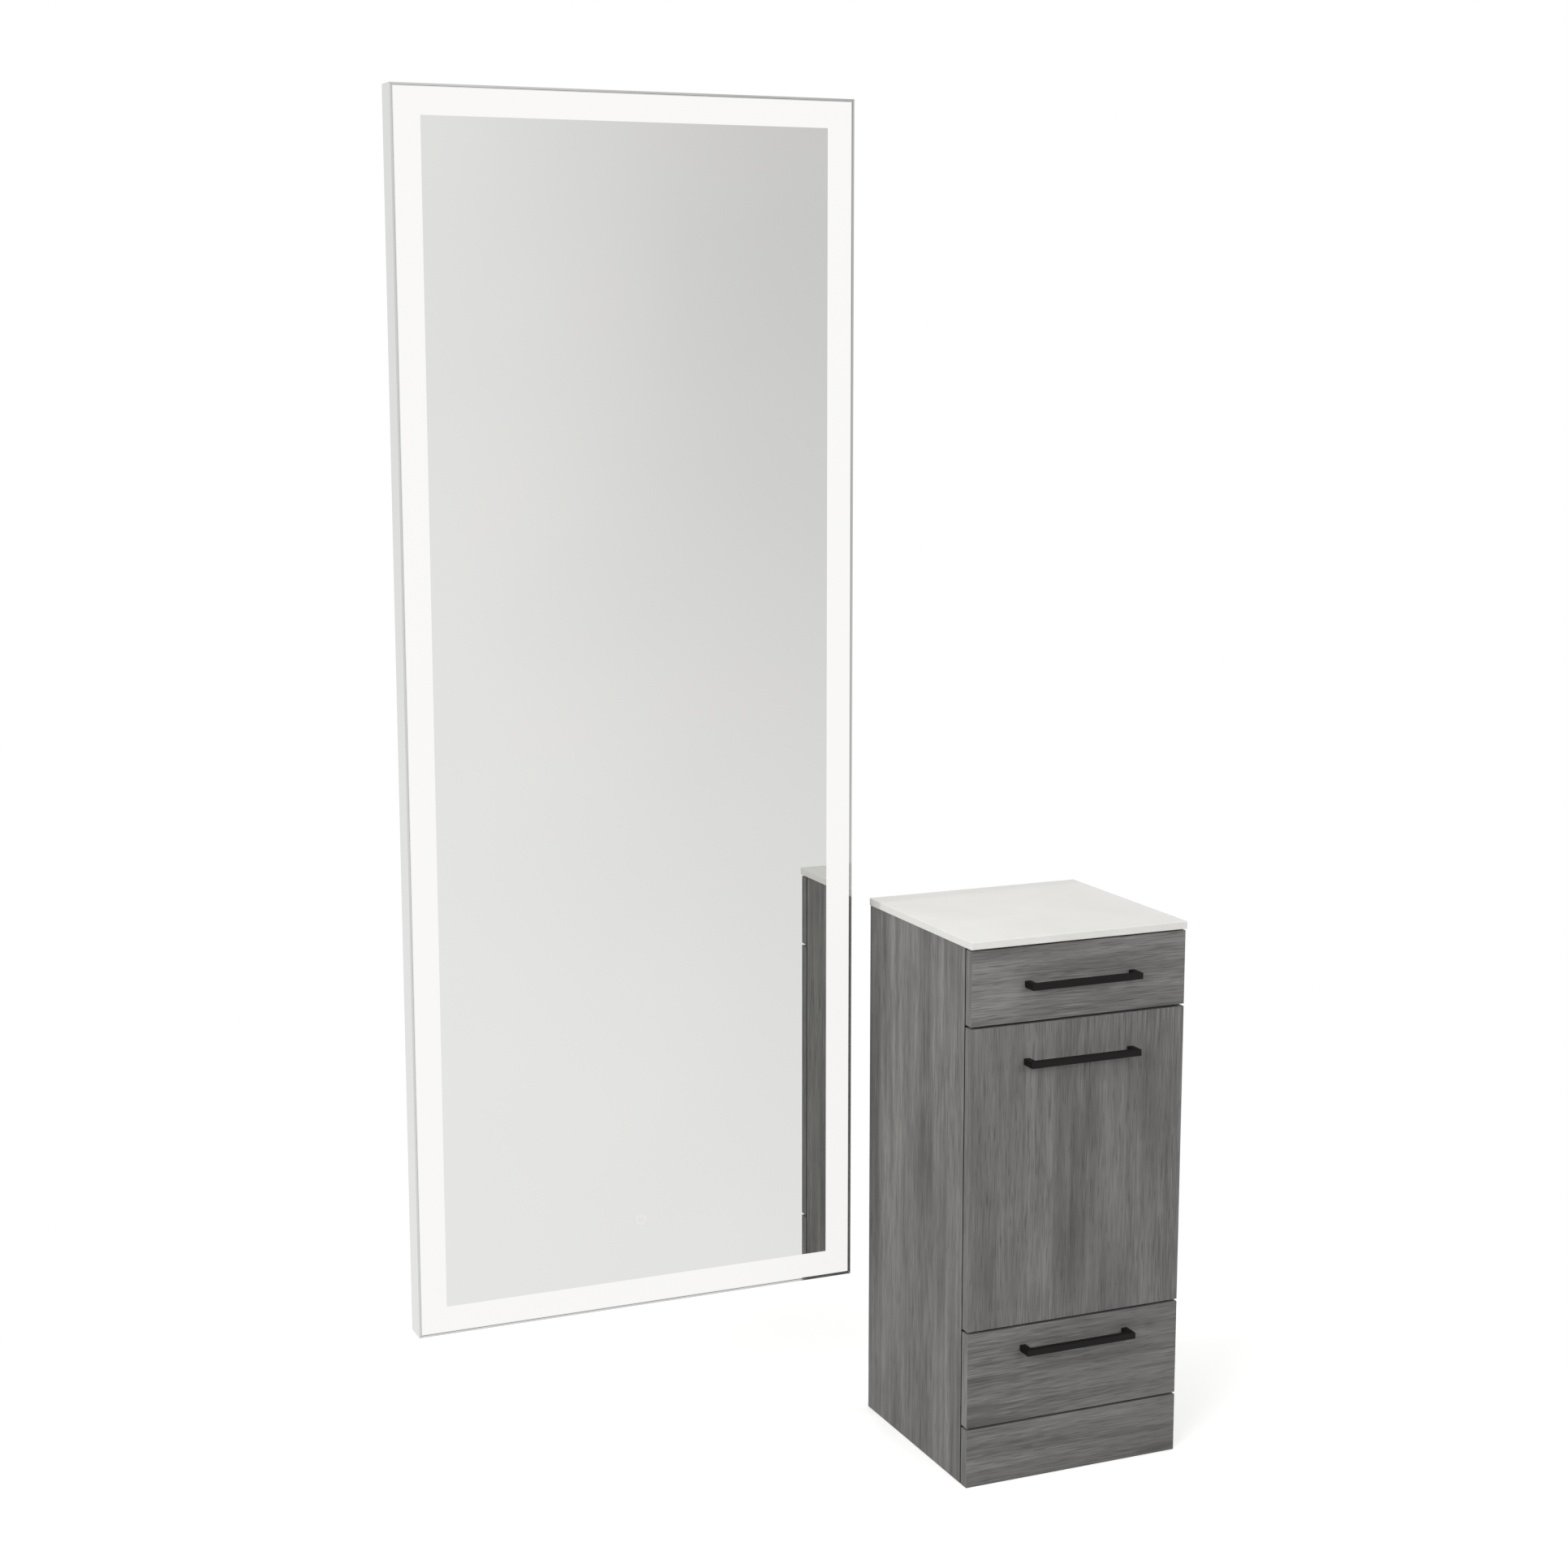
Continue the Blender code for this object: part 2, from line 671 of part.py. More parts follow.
def tool_holder(door):
    """A folded steel shelf on the back of the door, with steel canisters hung in its holes."""
    face = front_back_y + FIT_GAP
    top = door_high - SHELF_DROP
    rear = face + SHELF_DEPTH
    steel = SHELF_STEEL
    outline = [
        (face, top),
        (face, top - SHELF_FLANGE),
        (face + steel, top - SHELF_FLANGE),
        (face + steel, top - steel),
        (rear - steel, top - steel),
        (rear - steel, top - SHELF_LIP),
        (rear, top - SHELF_LIP),
        (rear, top),
    ]
    low_x = inside_left + SHELF_SIDE_CLEARANCE
    high_x = inside_right - SHELF_SIDE_CLEARANCE
    shelf = settle("tool_holder_shelf", prism(outline, "x", low_x, high_x), "black_metal", door)
    pitch = (high_x - low_x) / CANISTER_COUNT
    centre_y = (face + rear) / 2
    rim = CANISTER_RADIUS + CANISTER_RIM
    inner = CANISTER_RADIUS - CANISTER_STEEL
    rim_low = top + FIT_GAP
    foot = rim_low - CANISTER_DEPTH
    for index in range(CANISTER_COUNT):
        centre_x = low_x + pitch * (index + 0.5)
        hole = rod(
            (centre_x, centre_y, 0),
            "z",
            CANISTER_RADIUS + RUNNING_GAP,
            top - 2 * steel,
            top + steel,
            ROUND_SIDES,
        )
        combine(shelf, hole, "DIFFERENCE")
        profile = [
            (0, foot),
            (CANISTER_RADIUS - CANISTER_FOOT_RADIUS, foot),
            (CANISTER_RADIUS, foot + CANISTER_FOOT_RADIUS),
            (CANISTER_RADIUS, rim_low),
            (rim, rim_low),
            (rim, rim_low + CANISTER_STEEL),
            (inner, rim_low + CANISTER_STEEL),
            (inner, foot + CANISTER_FOOT_RADIUS),
            (inner - CANISTER_FOOT_RADIUS + CANISTER_STEEL / 2, foot + CANISTER_STEEL),
            (0, foot + CANISTER_STEEL),
        ]
        shape = turned(profile, (centre_x, centre_y, 0), "z", ROUND_SIDES)
        settle(f"tool_canister_{index + 1}", shape, "canister_steel", door, 40)


def tilting_door():
    """The tilting door with its handle, hinges, stay and tool holder."""
    door = carrier("tilt_door_carrier", door_axis)
    panel(
        "door_panel",
        (cabinet_left, front_y, door_low),
        (cabinet_right, front_back_y, door_high),
        "laminate",
        door,
        edge=FRONT_EDGE_CHAMFER,
    )
    bar_handle("door_handle", door_high - DOOR_HANDLE_DROP, door)
    origin = Vector((front_y, door_low))
    post = link_geometry()[1] + origin
    links = carrier("door_links_carrier", Vector((cabinet_middle, post.x, post.y)))
    hinges(door, links)
    pin = Vector((FRONT_THICKNESS + STAY_PIN_BACK, STAY_PIN_RISE))
    post_back = math.sqrt(pin.length**2 - STAY_POST_RISE**2)
    stay_post = Vector((post_back, STAY_POST_RISE)) + origin
    door_pin = pin + origin
    arm_carrier = carrier("stay_arm_carrier", Vector((inside_right, door_pin.x, door_pin.y)))
    stay(door, arm_carrier, door_pin, stay_post)
    tool_holder(door)


def frame_bar(name, along, outer, inward, low, high, group):
    """One mitred bar of the mirror's frame: a wall, a ledge that the glass lies on and a rear flange."""
    glass_back = MIRROR_DEPTH - GLASS_SETBACK - GLASS_THICKNESS - FIT_GAP
    pan_front = BACK_RECESS + BACK_PAN_THICKNESS + FIT_GAP
    wall, ledge, steel = FRAME_WALL, FRAME_WALL + FRAME_LEDGE, FRAME_STEEL
    section = [
        (0, 0),
        (0, MIRROR_DEPTH),
        (wall, MIRROR_DEPTH),
        (wall, glass_back),
        (ledge, glass_back),
        (ledge, glass_back - steel),
        (wall, glass_back - steel),
        (wall, pan_front + steel),
        (ledge, pan_front + steel),
        (ledge, pan_front),
        (wall, pan_front),
        (wall, 0),
    ]
    bm = bmesh.new()
    ends = []
    for end, sign in ((low, 1), (high, -1)):
        ring = []
        for offset, depth in section:
            run = end + sign * (offset + FRAME_CORNER_GAP / 2)
            across = outer + inward * offset
            place = (across, wall_y - depth, run) if along == "z" else (run, wall_y - depth, across)
            ring.append(bm.verts.new(place))
        ends.append(ring)
        bm.faces.new(ring)
    count = len(section)
    for i in range(count):
        j = (i + 1) % count
        bm.faces.new((ends[0][i], ends[0][j], ends[1][j], ends[1][i]))
    settle(name, bm, "aluminium", group)


def hooked_strip(name, outline, kind, group, holes_z=None):
    """A folded steel strip along X, with screw holes where it lies flat on the wall."""
    middle = (mirror_left + mirror_right) / 2
    low_x, high_x = middle - RAIL_LENGTH / 2, middle + RAIL_LENGTH / 2
    strip = settle(name, prism(outline, "x", low_x, high_x), kind, group)
    if holes_z is None:
        return
    for side in (-1, 0, 1):
        centre = (middle + side * RAIL_HOLE_PITCH, wall_y, holes_z)
        hole = rod(centre, "y", RAIL_HOLE_RADIUS, -2 * RAIL_STEEL, RAIL_STEEL)
        combine(strip, hole, "DIFFERENCE")


def hanging_rails(mirror, mirror_high):
    """The wall rail's hook points up, the mirror rail's hook points down behind it."""
    steel, gap = RAIL_STEEL, FIT_GAP
    hook_top = mirror_high - RAIL_DROP
    inner_near = gap
    inner_far = inner_near + steel
    outer_near = inner_far + gap
    outer_far = outer_near + steel
    fold_low = hook_top - RAIL_HOOK - RAIL_HOOK_ROOM
    wall_outline = [
        (0, fold_low - RAIL_PLATE),
        (0, fold_low),
        (outer_near, fold_low),
        (outer_near, hook_top),
        (outer_far, hook_top),
        (outer_far, fold_low - steel),
        (steel, fold_low - steel),
        (steel, fold_low - RAIL_PLATE),
    ]
    pan_rear = BACK_RECESS - gap
    mirror_outline = [
        (inner_near, hook_top - RAIL_HOOK),
        (inner_near, hook_top + gap + steel),
        (pan_rear - steel, hook_top + gap + steel),
        (pan_rear - steel, hook_top + gap + RAIL_PLATE),
        (pan_rear, hook_top + gap + RAIL_PLATE),
        (pan_rear, hook_top + gap),
        (inner_far, hook_top + gap),
        (inner_far, hook_top - RAIL_HOOK),
    ]
    on_wall = [(wall_y - depth, z) for depth, z in wall_outline]
    on_mirror = [(wall_y - depth, z) for depth, z in mirror_outline]
    hooked_strip("wall_rail", on_wall, "zinc_steel", None, fold_low - RAIL_PLATE / 2 - steel / 2)
    hooked_strip("mirror_hanging_rail", on_mirror, "zinc_steel", mirror)


def lit_mirror():
    """The mirror: a mitred aluminium frame, the glass, a steel back, and the light behind the frosted band."""
    low, high = MIRROR_BASE_HEIGHT, MIRROR_BASE_HEIGHT + MIRROR_HEIGHT
    middle_x = (mirror_left + mirror_right) / 2
    mirror = carrier("mirror_carrier", Vector((middle_x, wall_y, high - RAIL_DROP)))
    frame_bar("mirror_frame_left", "z", mirror_left, 1, low, high, mirror)
    frame_bar("mirror_frame_right", "z", mirror_right, -1, low, high, mirror)
    frame_bar("mirror_frame_bottom", "x", low, 1, mirror_left, mirror_right, mirror)
    frame_bar("mirror_frame_top", "x", high, -1, mirror_left, mirror_right, mirror)

    inset = FRAME_WALL + FIT_GAP
    glass_front = MIRROR_DEPTH - GLASS_SETBACK
    glass_back = glass_front - GLASS_THICKNESS
    panel(
        "mirror_glass",
        (mirror_left + inset, wall_y - glass_front, low + inset),
        (mirror_right - inset, wall_y - glass_back, high - inset),
        "mirror_glass",
        mirror,
        edge=GLASS_EDGE,
    )
    pan_front = BACK_RECESS + BACK_PAN_THICKNESS
    pan = panel(
        "mirror_back_pan",
        (mirror_left + inset, wall_y - pan_front, low + inset),
        (mirror_right - inset, wall_y - BACK_RECESS, high - inset),
        "white_steel",
        mirror,
    )

    driver_low = low + DRIVER_HEIGHT
    width, depth, height = DRIVER_SIZE
    driver_y = wall_y - pan_front - FIT_GAP
    panel(
        "led_driver",
        (middle_x - width / 2, driver_y - depth, driver_low),
        (middle_x + width / 2, driver_y, driver_low + height),
        "white_plastic",
        mirror,
        edge=DRIVER_ROUNDING,
        segments=2,
    )
    inlet = (middle_x + INLET_OFFSET, wall_y, driver_low + height / 2)
    combine(pan, rod(inlet, "y", INLET_RADIUS + FIT_GAP, -2 * pan_front, 0), "DIFFERENCE")
    flange_front = FIT_GAP - BACK_RECESS
    spigot = -pan_front - INLET_FLANGE
    grommet = [
        (INLET_LEAD_RADIUS, flange_front + INLET_FLANGE),
        (INLET_FLANGE_RADIUS, flange_front + INLET_FLANGE),
        (INLET_FLANGE_RADIUS, flange_front),
        (INLET_RADIUS, flange_front),
        (INLET_RADIUS, spigot),
        (INLET_LEAD_RADIUS, spigot),
    ]
    settle("power_lead_grommet", turned(grommet, inlet, "y", ROUND_SIDES), "black_rubber", mirror, 40)

    ledge_back = glass_back - FIT_GAP - FRAME_STEEL
    strip_far = (ledge_back + pan_front + FIT_GAP + FRAME_STEEL) / 2 + LED_STRIP_WIDTH / 2
    strip_near = strip_far - LED_STRIP_WIDTH
    strip = settle(
        "led_strip",
        block(
            (mirror_left + inset, wall_y - strip_far, low + inset),
            (mirror_right - inset, wall_y - strip_near, high - inset),
        ),
        "led_tape",
        mirror,
    )
    hollow = inset + LED_STRIP_THICKNESS
    room = LED_STRIP_WIDTH / 2
    inside = block(
        (mirror_left + hollow, wall_y - strip_far - room, low + hollow),
        (mirror_right - hollow, wall_y - strip_near + room, high - hollow),
    )
    combine(strip, inside, "DIFFERENCE")

    sensor_back = wall_y - glass_back + FIT_GAP
    sensor_z = low + SENSOR_HEIGHT
    panel(
        "touch_sensor_board",
        (middle_x - SENSOR_SIZE / 2, sensor_back, sensor_z - SENSOR_SIZE / 2),
        (middle_x + SENSOR_SIZE / 2, sensor_back + SENSOR_THICKNESS, sensor_z + SENSOR_SIZE / 2),
        "circuit_board",
        mirror,
    )
    hanging_rails(mirror, high)


clear_scene()
cabinet_panels()
half_panel = (PANEL_THICKNESS + FRONT_GAP) / 2
drawer_box(
    "bottom",
    TOE_KICK_HEIGHT + half_panel + BOX_FLOOR_CLEARANCE,
    bottom_front_high + FRONT_GAP - half_panel - BOTTOM_BOX_HEAD_CLEARANCE,
    bottom_front_low,
    bottom_front_high,
    bottom_front_low + BOTTOM_HANDLE_HEIGHT,
)
drawer_box(
    "top",
    door_high + half_panel + BOX_FLOOR_CLEARANCE,
    worktop_low - FIT_GAP - PANEL_THICKNESS - BOX_HEAD_CLEARANCE,
    top_front_low,
    top_front_high,
    top_front_low + TOP_HANDLE_HEIGHT,
)
tilting_door()
lit_mirror()
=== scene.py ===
"""Looks of the salon styling station: a grey laminate tool cabinet and the lit mirror on the wall beside it.

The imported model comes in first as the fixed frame, and the file then follows the set as it is put together.
Lengths are in metres, +Z is up, +Y points at the wall and +X to the right as seen from the front.
"""

import math

import bpy
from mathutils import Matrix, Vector


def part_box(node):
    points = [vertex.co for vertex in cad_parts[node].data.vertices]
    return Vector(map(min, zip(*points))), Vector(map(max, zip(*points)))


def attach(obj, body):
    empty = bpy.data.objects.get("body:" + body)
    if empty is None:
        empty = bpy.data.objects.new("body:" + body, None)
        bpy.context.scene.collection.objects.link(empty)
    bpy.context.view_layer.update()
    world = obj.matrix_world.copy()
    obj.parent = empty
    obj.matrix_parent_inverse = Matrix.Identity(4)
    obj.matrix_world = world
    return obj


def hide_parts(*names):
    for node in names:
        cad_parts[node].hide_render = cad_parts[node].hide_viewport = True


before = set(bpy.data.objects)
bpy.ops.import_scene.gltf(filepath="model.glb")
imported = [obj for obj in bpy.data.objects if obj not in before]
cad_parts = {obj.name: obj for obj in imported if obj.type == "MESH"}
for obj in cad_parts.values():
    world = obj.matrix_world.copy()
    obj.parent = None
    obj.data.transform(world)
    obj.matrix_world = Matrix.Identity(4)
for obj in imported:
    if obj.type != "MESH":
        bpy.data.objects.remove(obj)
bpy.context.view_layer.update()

# The camera stands where the photograph was taken from: left of the set at eye height, turned to the right
# and tipped down a little. Its place, angles and lens were solved from the edges of the cabinet and mirror.
CAMERA_PLACE = (-1.5926, -3.5860, 1.7283)
CAMERA_ANGLES_DEG = (80.543, 0.036, -23.501)
CAMERA_LENS_MM = 61.69
CAMERA_SENSOR_MM = 36.0
angles = [math.radians(angle) for angle in CAMERA_ANGLES_DEG]
bpy.ops.object.camera_add(location=CAMERA_PLACE, rotation=angles)
camera = bpy.context.object
camera.data.lens = CAMERA_LENS_MM
camera.data.sensor_width = CAMERA_SENSOR_MM
bpy.context.scene.camera = camera
bpy.context.scene.view_settings.view_transform = "Standard"


# The studio is a pale floor under an even white sky. The camera sees both as plain white. Mirrors and metal
# see the sky through the floor, shaded softly as a large lit cove is: a little darker towards the right and
# the top.
SKY_LEVEL = 0.42
COVE_SIDEWAYS, COVE_UPWARDS = (0.26, 0.42), (-0.35, 0.09)
COVE_LOW_SHADES, COVE_HIGH_SHADES = (1.215, 1.155), (1.140, 0.885)
FLOOR_SIZE = 30.0
FLOOR_DROP = 0.0004
FLOOR_COLOUR, FLOOR_BOUNCE_COLOUR = "#e4e4e2", "#bcbcba"
FLOOR_GLOW = 0.42
FLOOR_FADE_FROM, FLOOR_FADE_TO = 0.7, 1.5
WHITE = "#ffffff"
# A mix node's sockets go by number: the share that the second takes, the two values or the two colours, and
# the mixed colour.
SHARE, FIRST, SECOND = 0, 2, 3
FIRST_COLOUR, SECOND_COLOUR, MIXED_COLOUR = 6, 7, 2


def linear(code):
    """An sRGB hex colour, such as #ffffff, as the linear values that shaders take."""
    parts = [int(code[start : start + 2], 16) / 255 for start in (1, 3, 5)]
    return [p / 12.92 if p <= 0.04045 else ((p + 0.055) / 1.055) ** 2.4 for p in parts] + [1.0]


def wire(tree, node, inputs=None, links=None):
    """Sets the values of a node's inputs, and links the outputs that feed the others."""
    for key, value in (inputs or {}).items():
        node.inputs[key].default_value = value
    for key, output in (links or {}).items():
        tree.links.new(output, node.inputs[key])


def add(tree, kind, inputs=None, links=None, stops=(), **settings):
    """Adds a node: its settings, the values of its inputs, what feeds them, and a colour ramp's stops."""
    node = tree.nodes.new(kind)
    for key, value in settings.items():
        setattr(node, key, value)
    wire(tree, node, inputs, links)
    for index, (position, colour) in enumerate(stops):
        ramp = node.color_ramp.elements
        stop = ramp[index] if index < 2 else ramp.new(position)
        stop.position = position
        stop.color = linear(colour)
    return node


def fresh(name):
    """Starts a material: itself, its node tree, its shader and the coordinates that its patterns read."""
    made = bpy.data.materials.new(name)
    made.use_nodes = True
    tree = made.node_tree
    spot = add(tree, "ShaderNodeTexCoord").outputs["Object"]
    return made, tree, tree.nodes["Principled BSDF"], spot


world = bpy.data.worlds.new("white_studio_sky")
bpy.context.scene.world = world
world.use_nodes = True
tree = world.node_tree
path = add(tree, "ShaderNodeLightPath")
heading = add(tree, "ShaderNodeTexCoord")
axes = add(tree, "ShaderNodeSeparateXYZ", links={0: heading.outputs["Generated"]})
blends = {}
for axis, (start, end) in (("X", COVE_SIDEWAYS), ("Z", COVE_UPWARDS)):
    blend = add(
        tree,
        "ShaderNodeMapRange",
        {"From Min": start, "From Max": end},
        {"Value": axes.outputs[axis]},
        interpolation_type="SMOOTHSTEP",
    )
    blends[axis] = blend.outputs["Result"]
shades = []
for left, right in (COVE_LOW_SHADES, COVE_HIGH_SHADES):
    shade = add(tree, "ShaderNodeMix", {FIRST: left, SECOND: right}, {SHARE: blends["X"]})
    shades.append(shade.outputs[0])
cove = add(tree, "ShaderNodeMix", links={SHARE: blends["Z"], FIRST: shades[0], SECOND: shades[1]})
reflected = add(
    tree,
    "ShaderNodeMix",
    {FIRST: SKY_LEVEL},
    {SHARE: path.outputs["Is Glossy Ray"], SECOND: cove.outputs[0]},
)
straight = add(
    tree,
    "ShaderNodeMath",
    links={0: path.outputs["Is Camera Ray"], 1: path.outputs["Is Transmission Ray"]},
    operation="MAXIMUM",
)
seen = add(tree, "ShaderNodeMix", {SECOND: 1.0}, {SHARE: straight.outputs[0], FIRST: reflected.outputs[0]})
wire(tree, tree.nodes["Background"], {"Color": linear(WHITE)}, {"Strength": seen.outputs[0]})

bpy.ops.mesh.primitive_plane_add(size=FLOOR_SIZE, location=(0, 0, -FLOOR_DROP))
floor = bpy.context.object
floor.name = "studio_floor"
pale_floor, tree, shader, spot = fresh("pale_studio_floor")
tree.nodes.remove(shader)
path = add(tree, "ShaderNodeLightPath")
away = add(tree, "ShaderNodeVectorMath", links={0: spot}, operation="LENGTH")
fade = add(
    tree,
    "ShaderNodeMapRange",
    {"From Min": FLOOR_FADE_FROM, "From Max": FLOOR_FADE_TO},
    {"Value": away.outputs["Value"]},
    interpolation_type="SMOOTHSTEP",
)
faded = add(
    tree,
    "ShaderNodeMath",
    links={0: fade.outputs["Result"], 1: path.outputs["Is Camera Ray"]},
    operation="MULTIPLY",
)
level = add(
    tree,
    "ShaderNodeMath",
    {1: FLOOR_GLOW},
    {0: path.outputs["Is Camera Ray"]},
    operation="MULTIPLY",
)
glow = add(tree, "ShaderNodeEmission", {"Color": linear(WHITE)}, {"Strength": level.outputs[0]})
shown = add(
    tree,
    "ShaderNodeMix",
    {FIRST_COLOUR: linear(FLOOR_BOUNCE_COLOUR), SECOND_COLOUR: linear(FLOOR_COLOUR)},
    {SHARE: path.outputs["Is Camera Ray"]},
    data_type="RGBA",
)
matte = add(tree, "ShaderNodeBsdfDiffuse", links={"Color": shown.outputs[MIXED_COLOUR]})
lit = add(tree, "ShaderNodeAddShader", links={0: matte.outputs[0], 1: glow.outputs[0]})
far = add(tree, "ShaderNodeEmission", {"Color": linear(WHITE), "Strength": 1.0})
surface = add(tree, "ShaderNodeMixShader", links={0: faded.outputs[0], 1: lit.outputs[0], 2: far.outputs[0]})
clear = add(tree, "ShaderNodeBsdfTransparent")
mirrored = add(
    tree,
    "ShaderNodeMath",
    links={0: path.outputs["Is Glossy Ray"], 1: path.outputs["Is Transmission Ray"]},
    operation="MAXIMUM",
)
both = add(
    tree,
    "ShaderNodeMixShader",
    links={0: mirrored.outputs[0], 1: surface.outputs[0], 2: clear.outputs[0]},
)
wire(tree, tree.nodes["Material Output"], links={"Surface": both.outputs[0]})
floor.data.materials.append(pale_floor)


# Soft lamps that metal doesn't show: the main one at the left, and weaker ones in front, at the right,
# overhead and behind. One more stands far out at the left along the wall and throws the mirror's edge as a
# line on the cabinet's side. With the sky they light a surface at about the level of its written colour.
LAMP_TARGET = Vector((0.1, 0.0, 0.8))
# Each lamp's place, its width and height, its power in watts, and whether mirrors and metal show it.
LAMPS = {
    "left_lamp": ((-3.4, -2.6, 3.0), 2.4, 2.4, 114.0, False),
    "front_lamp": ((0.9, -4.6, 2.5), 1.6, 1.2, 48.0, False),
    "right_lamp": ((2.6, -4.2, 2.2), 2.0, 2.0, 24.0, False),
    "top_lamp": ((0.2, -0.8, 4.4), 2.6, 2.6, 30.0, False),
    "rear_lamp": ((1.8, 4.2, 2.6), 2.4, 2.4, 60.0, False),
    "wall_lamp": ((-6.0, -0.055, 3.5), 0.34, 1.0, 94.0, True),
}
for name, (stand, wide, tall, power, mirrored_too) in LAMPS.items():
    aim = (LAMP_TARGET - Vector(stand)).to_track_quat("-Z", "Y")
    bpy.ops.object.light_add(type="AREA", location=stand, rotation=aim.to_euler())
    lamp = bpy.context.object
    lamp.name = name
    lamp.data.shape = "RECTANGLE"
    lamp.data.size = wide
    lamp.data.size_y = tall
    lamp.data.energy = power
    lamp.visible_glossy = mirrored_too


# Laminated boards: 18 mm chipboard faced with melamine paper printed as grey timber, with glued-on edging of
# the same print. The grain is upright on the sides and the door, and lies along the drawer fronts and toe
# kick. The edging's print runs along each edge, so the short ends turn the grain.
EDGING_RADIUS = 0.0002
# Each front is cut a little short and the sides stand a little back, so that the seams read as dark lines.
FRONT_TRIM, SIDE_TRIM = 0.0004, 0.0007
LAMINATE_DARK, LAMINATE_MID, LAMINATE_LIGHT = "#5c5a59", "#71706f", "#878583"
LAMINATE_PORE = "#454342"
LAMINATE_IOR = 1.5
LAMINATE_SHINE = 0.08
LAMINATE_ROUGHNESS = (0.50, 0.64)
FLAME_WIDTH, FLAME_LENGTH = 0.045, 0.50
BAND_WIDTH, BAND_LENGTH = 0.014, 0.30
STREAK_WIDTH, STREAK_LENGTH = 0.0030, 0.095
# Hairs and pores finer than a millimetre wouldn't show, so they are drawn about that wide.
HAIR_WIDTH, HAIR_LENGTH = 0.0013, 0.055
PORE_WIDTH, PORE_LENGTH = 0.0011, 0.034
PATCH_SIZE = 0.12
BAND_SHARE, HAIR_SHARE = 0.45, 0.62
STREAKS_LEAST, STREAKS_MOST = 0.15, 0.75
TONE_SPREAD = 0.14
GRAIN_WANDER, GRAIN_WANDER_LENGTH = 0.0022, 0.16
PORE_FROM, PORE_FULL, PORE_STRENGTH = 0.60, 0.70, 0.42
PORE_DEPTH = 0.00008
# Most of a soft noise lies between these two levels.
NOISE_LOW, NOISE_HIGH = 0.35, 0.65
SHARP_ANGLE_DEG = 40
# A face looks along an axis where its normal goes at least this far along it.
LOOKS_ALONG = 0.9


def select_only(piece):
    bpy.ops.object.select_all(action="DESELECT")
    piece.select_set(True)
    bpy.context.view_layer.objects.active = piece


def block(name, low, high):
    """A box primitive between two corners, with its place and size in its mesh."""
    bpy.ops.object.select_all(action="DESELECT")
    low, high = Vector(low), Vector(high)
    bpy.ops.mesh.primitive_cube_add(size=1, location=(low + high) / 2, scale=high - low)
    bpy.ops.object.transform_apply(location=True, rotation=True, scale=True)
    piece = bpy.context.object
    piece.name = name
    return piece


def round_edges(piece, radius, segments=3):
    """Shades a piece smooth and rounds its sharp edges with an applied bevel that leaves flat faces flat."""
    select_only(piece)
    sharp = math.radians(SHARP_ANGLE_DEG)
    bpy.ops.object.shade_smooth_by_angle(angle=sharp)
    bpy.ops.object.modifier_add(type="BEVEL")
    bevel = piece.modifiers[-1]
    bevel.width = radius
    bevel.segments = segments
    bevel.limit_method = "ANGLE"
    bevel.angle_limit = sharp
    bevel.harden_normals = True
    bpy.ops.object.modifier_apply(modifier=bevel.name)


def fit(piece, body, finish=None):
    """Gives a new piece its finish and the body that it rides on."""
    if finish:
        piece.data.materials.clear()
        piece.data.materials.append(finish)
    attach(piece, body)


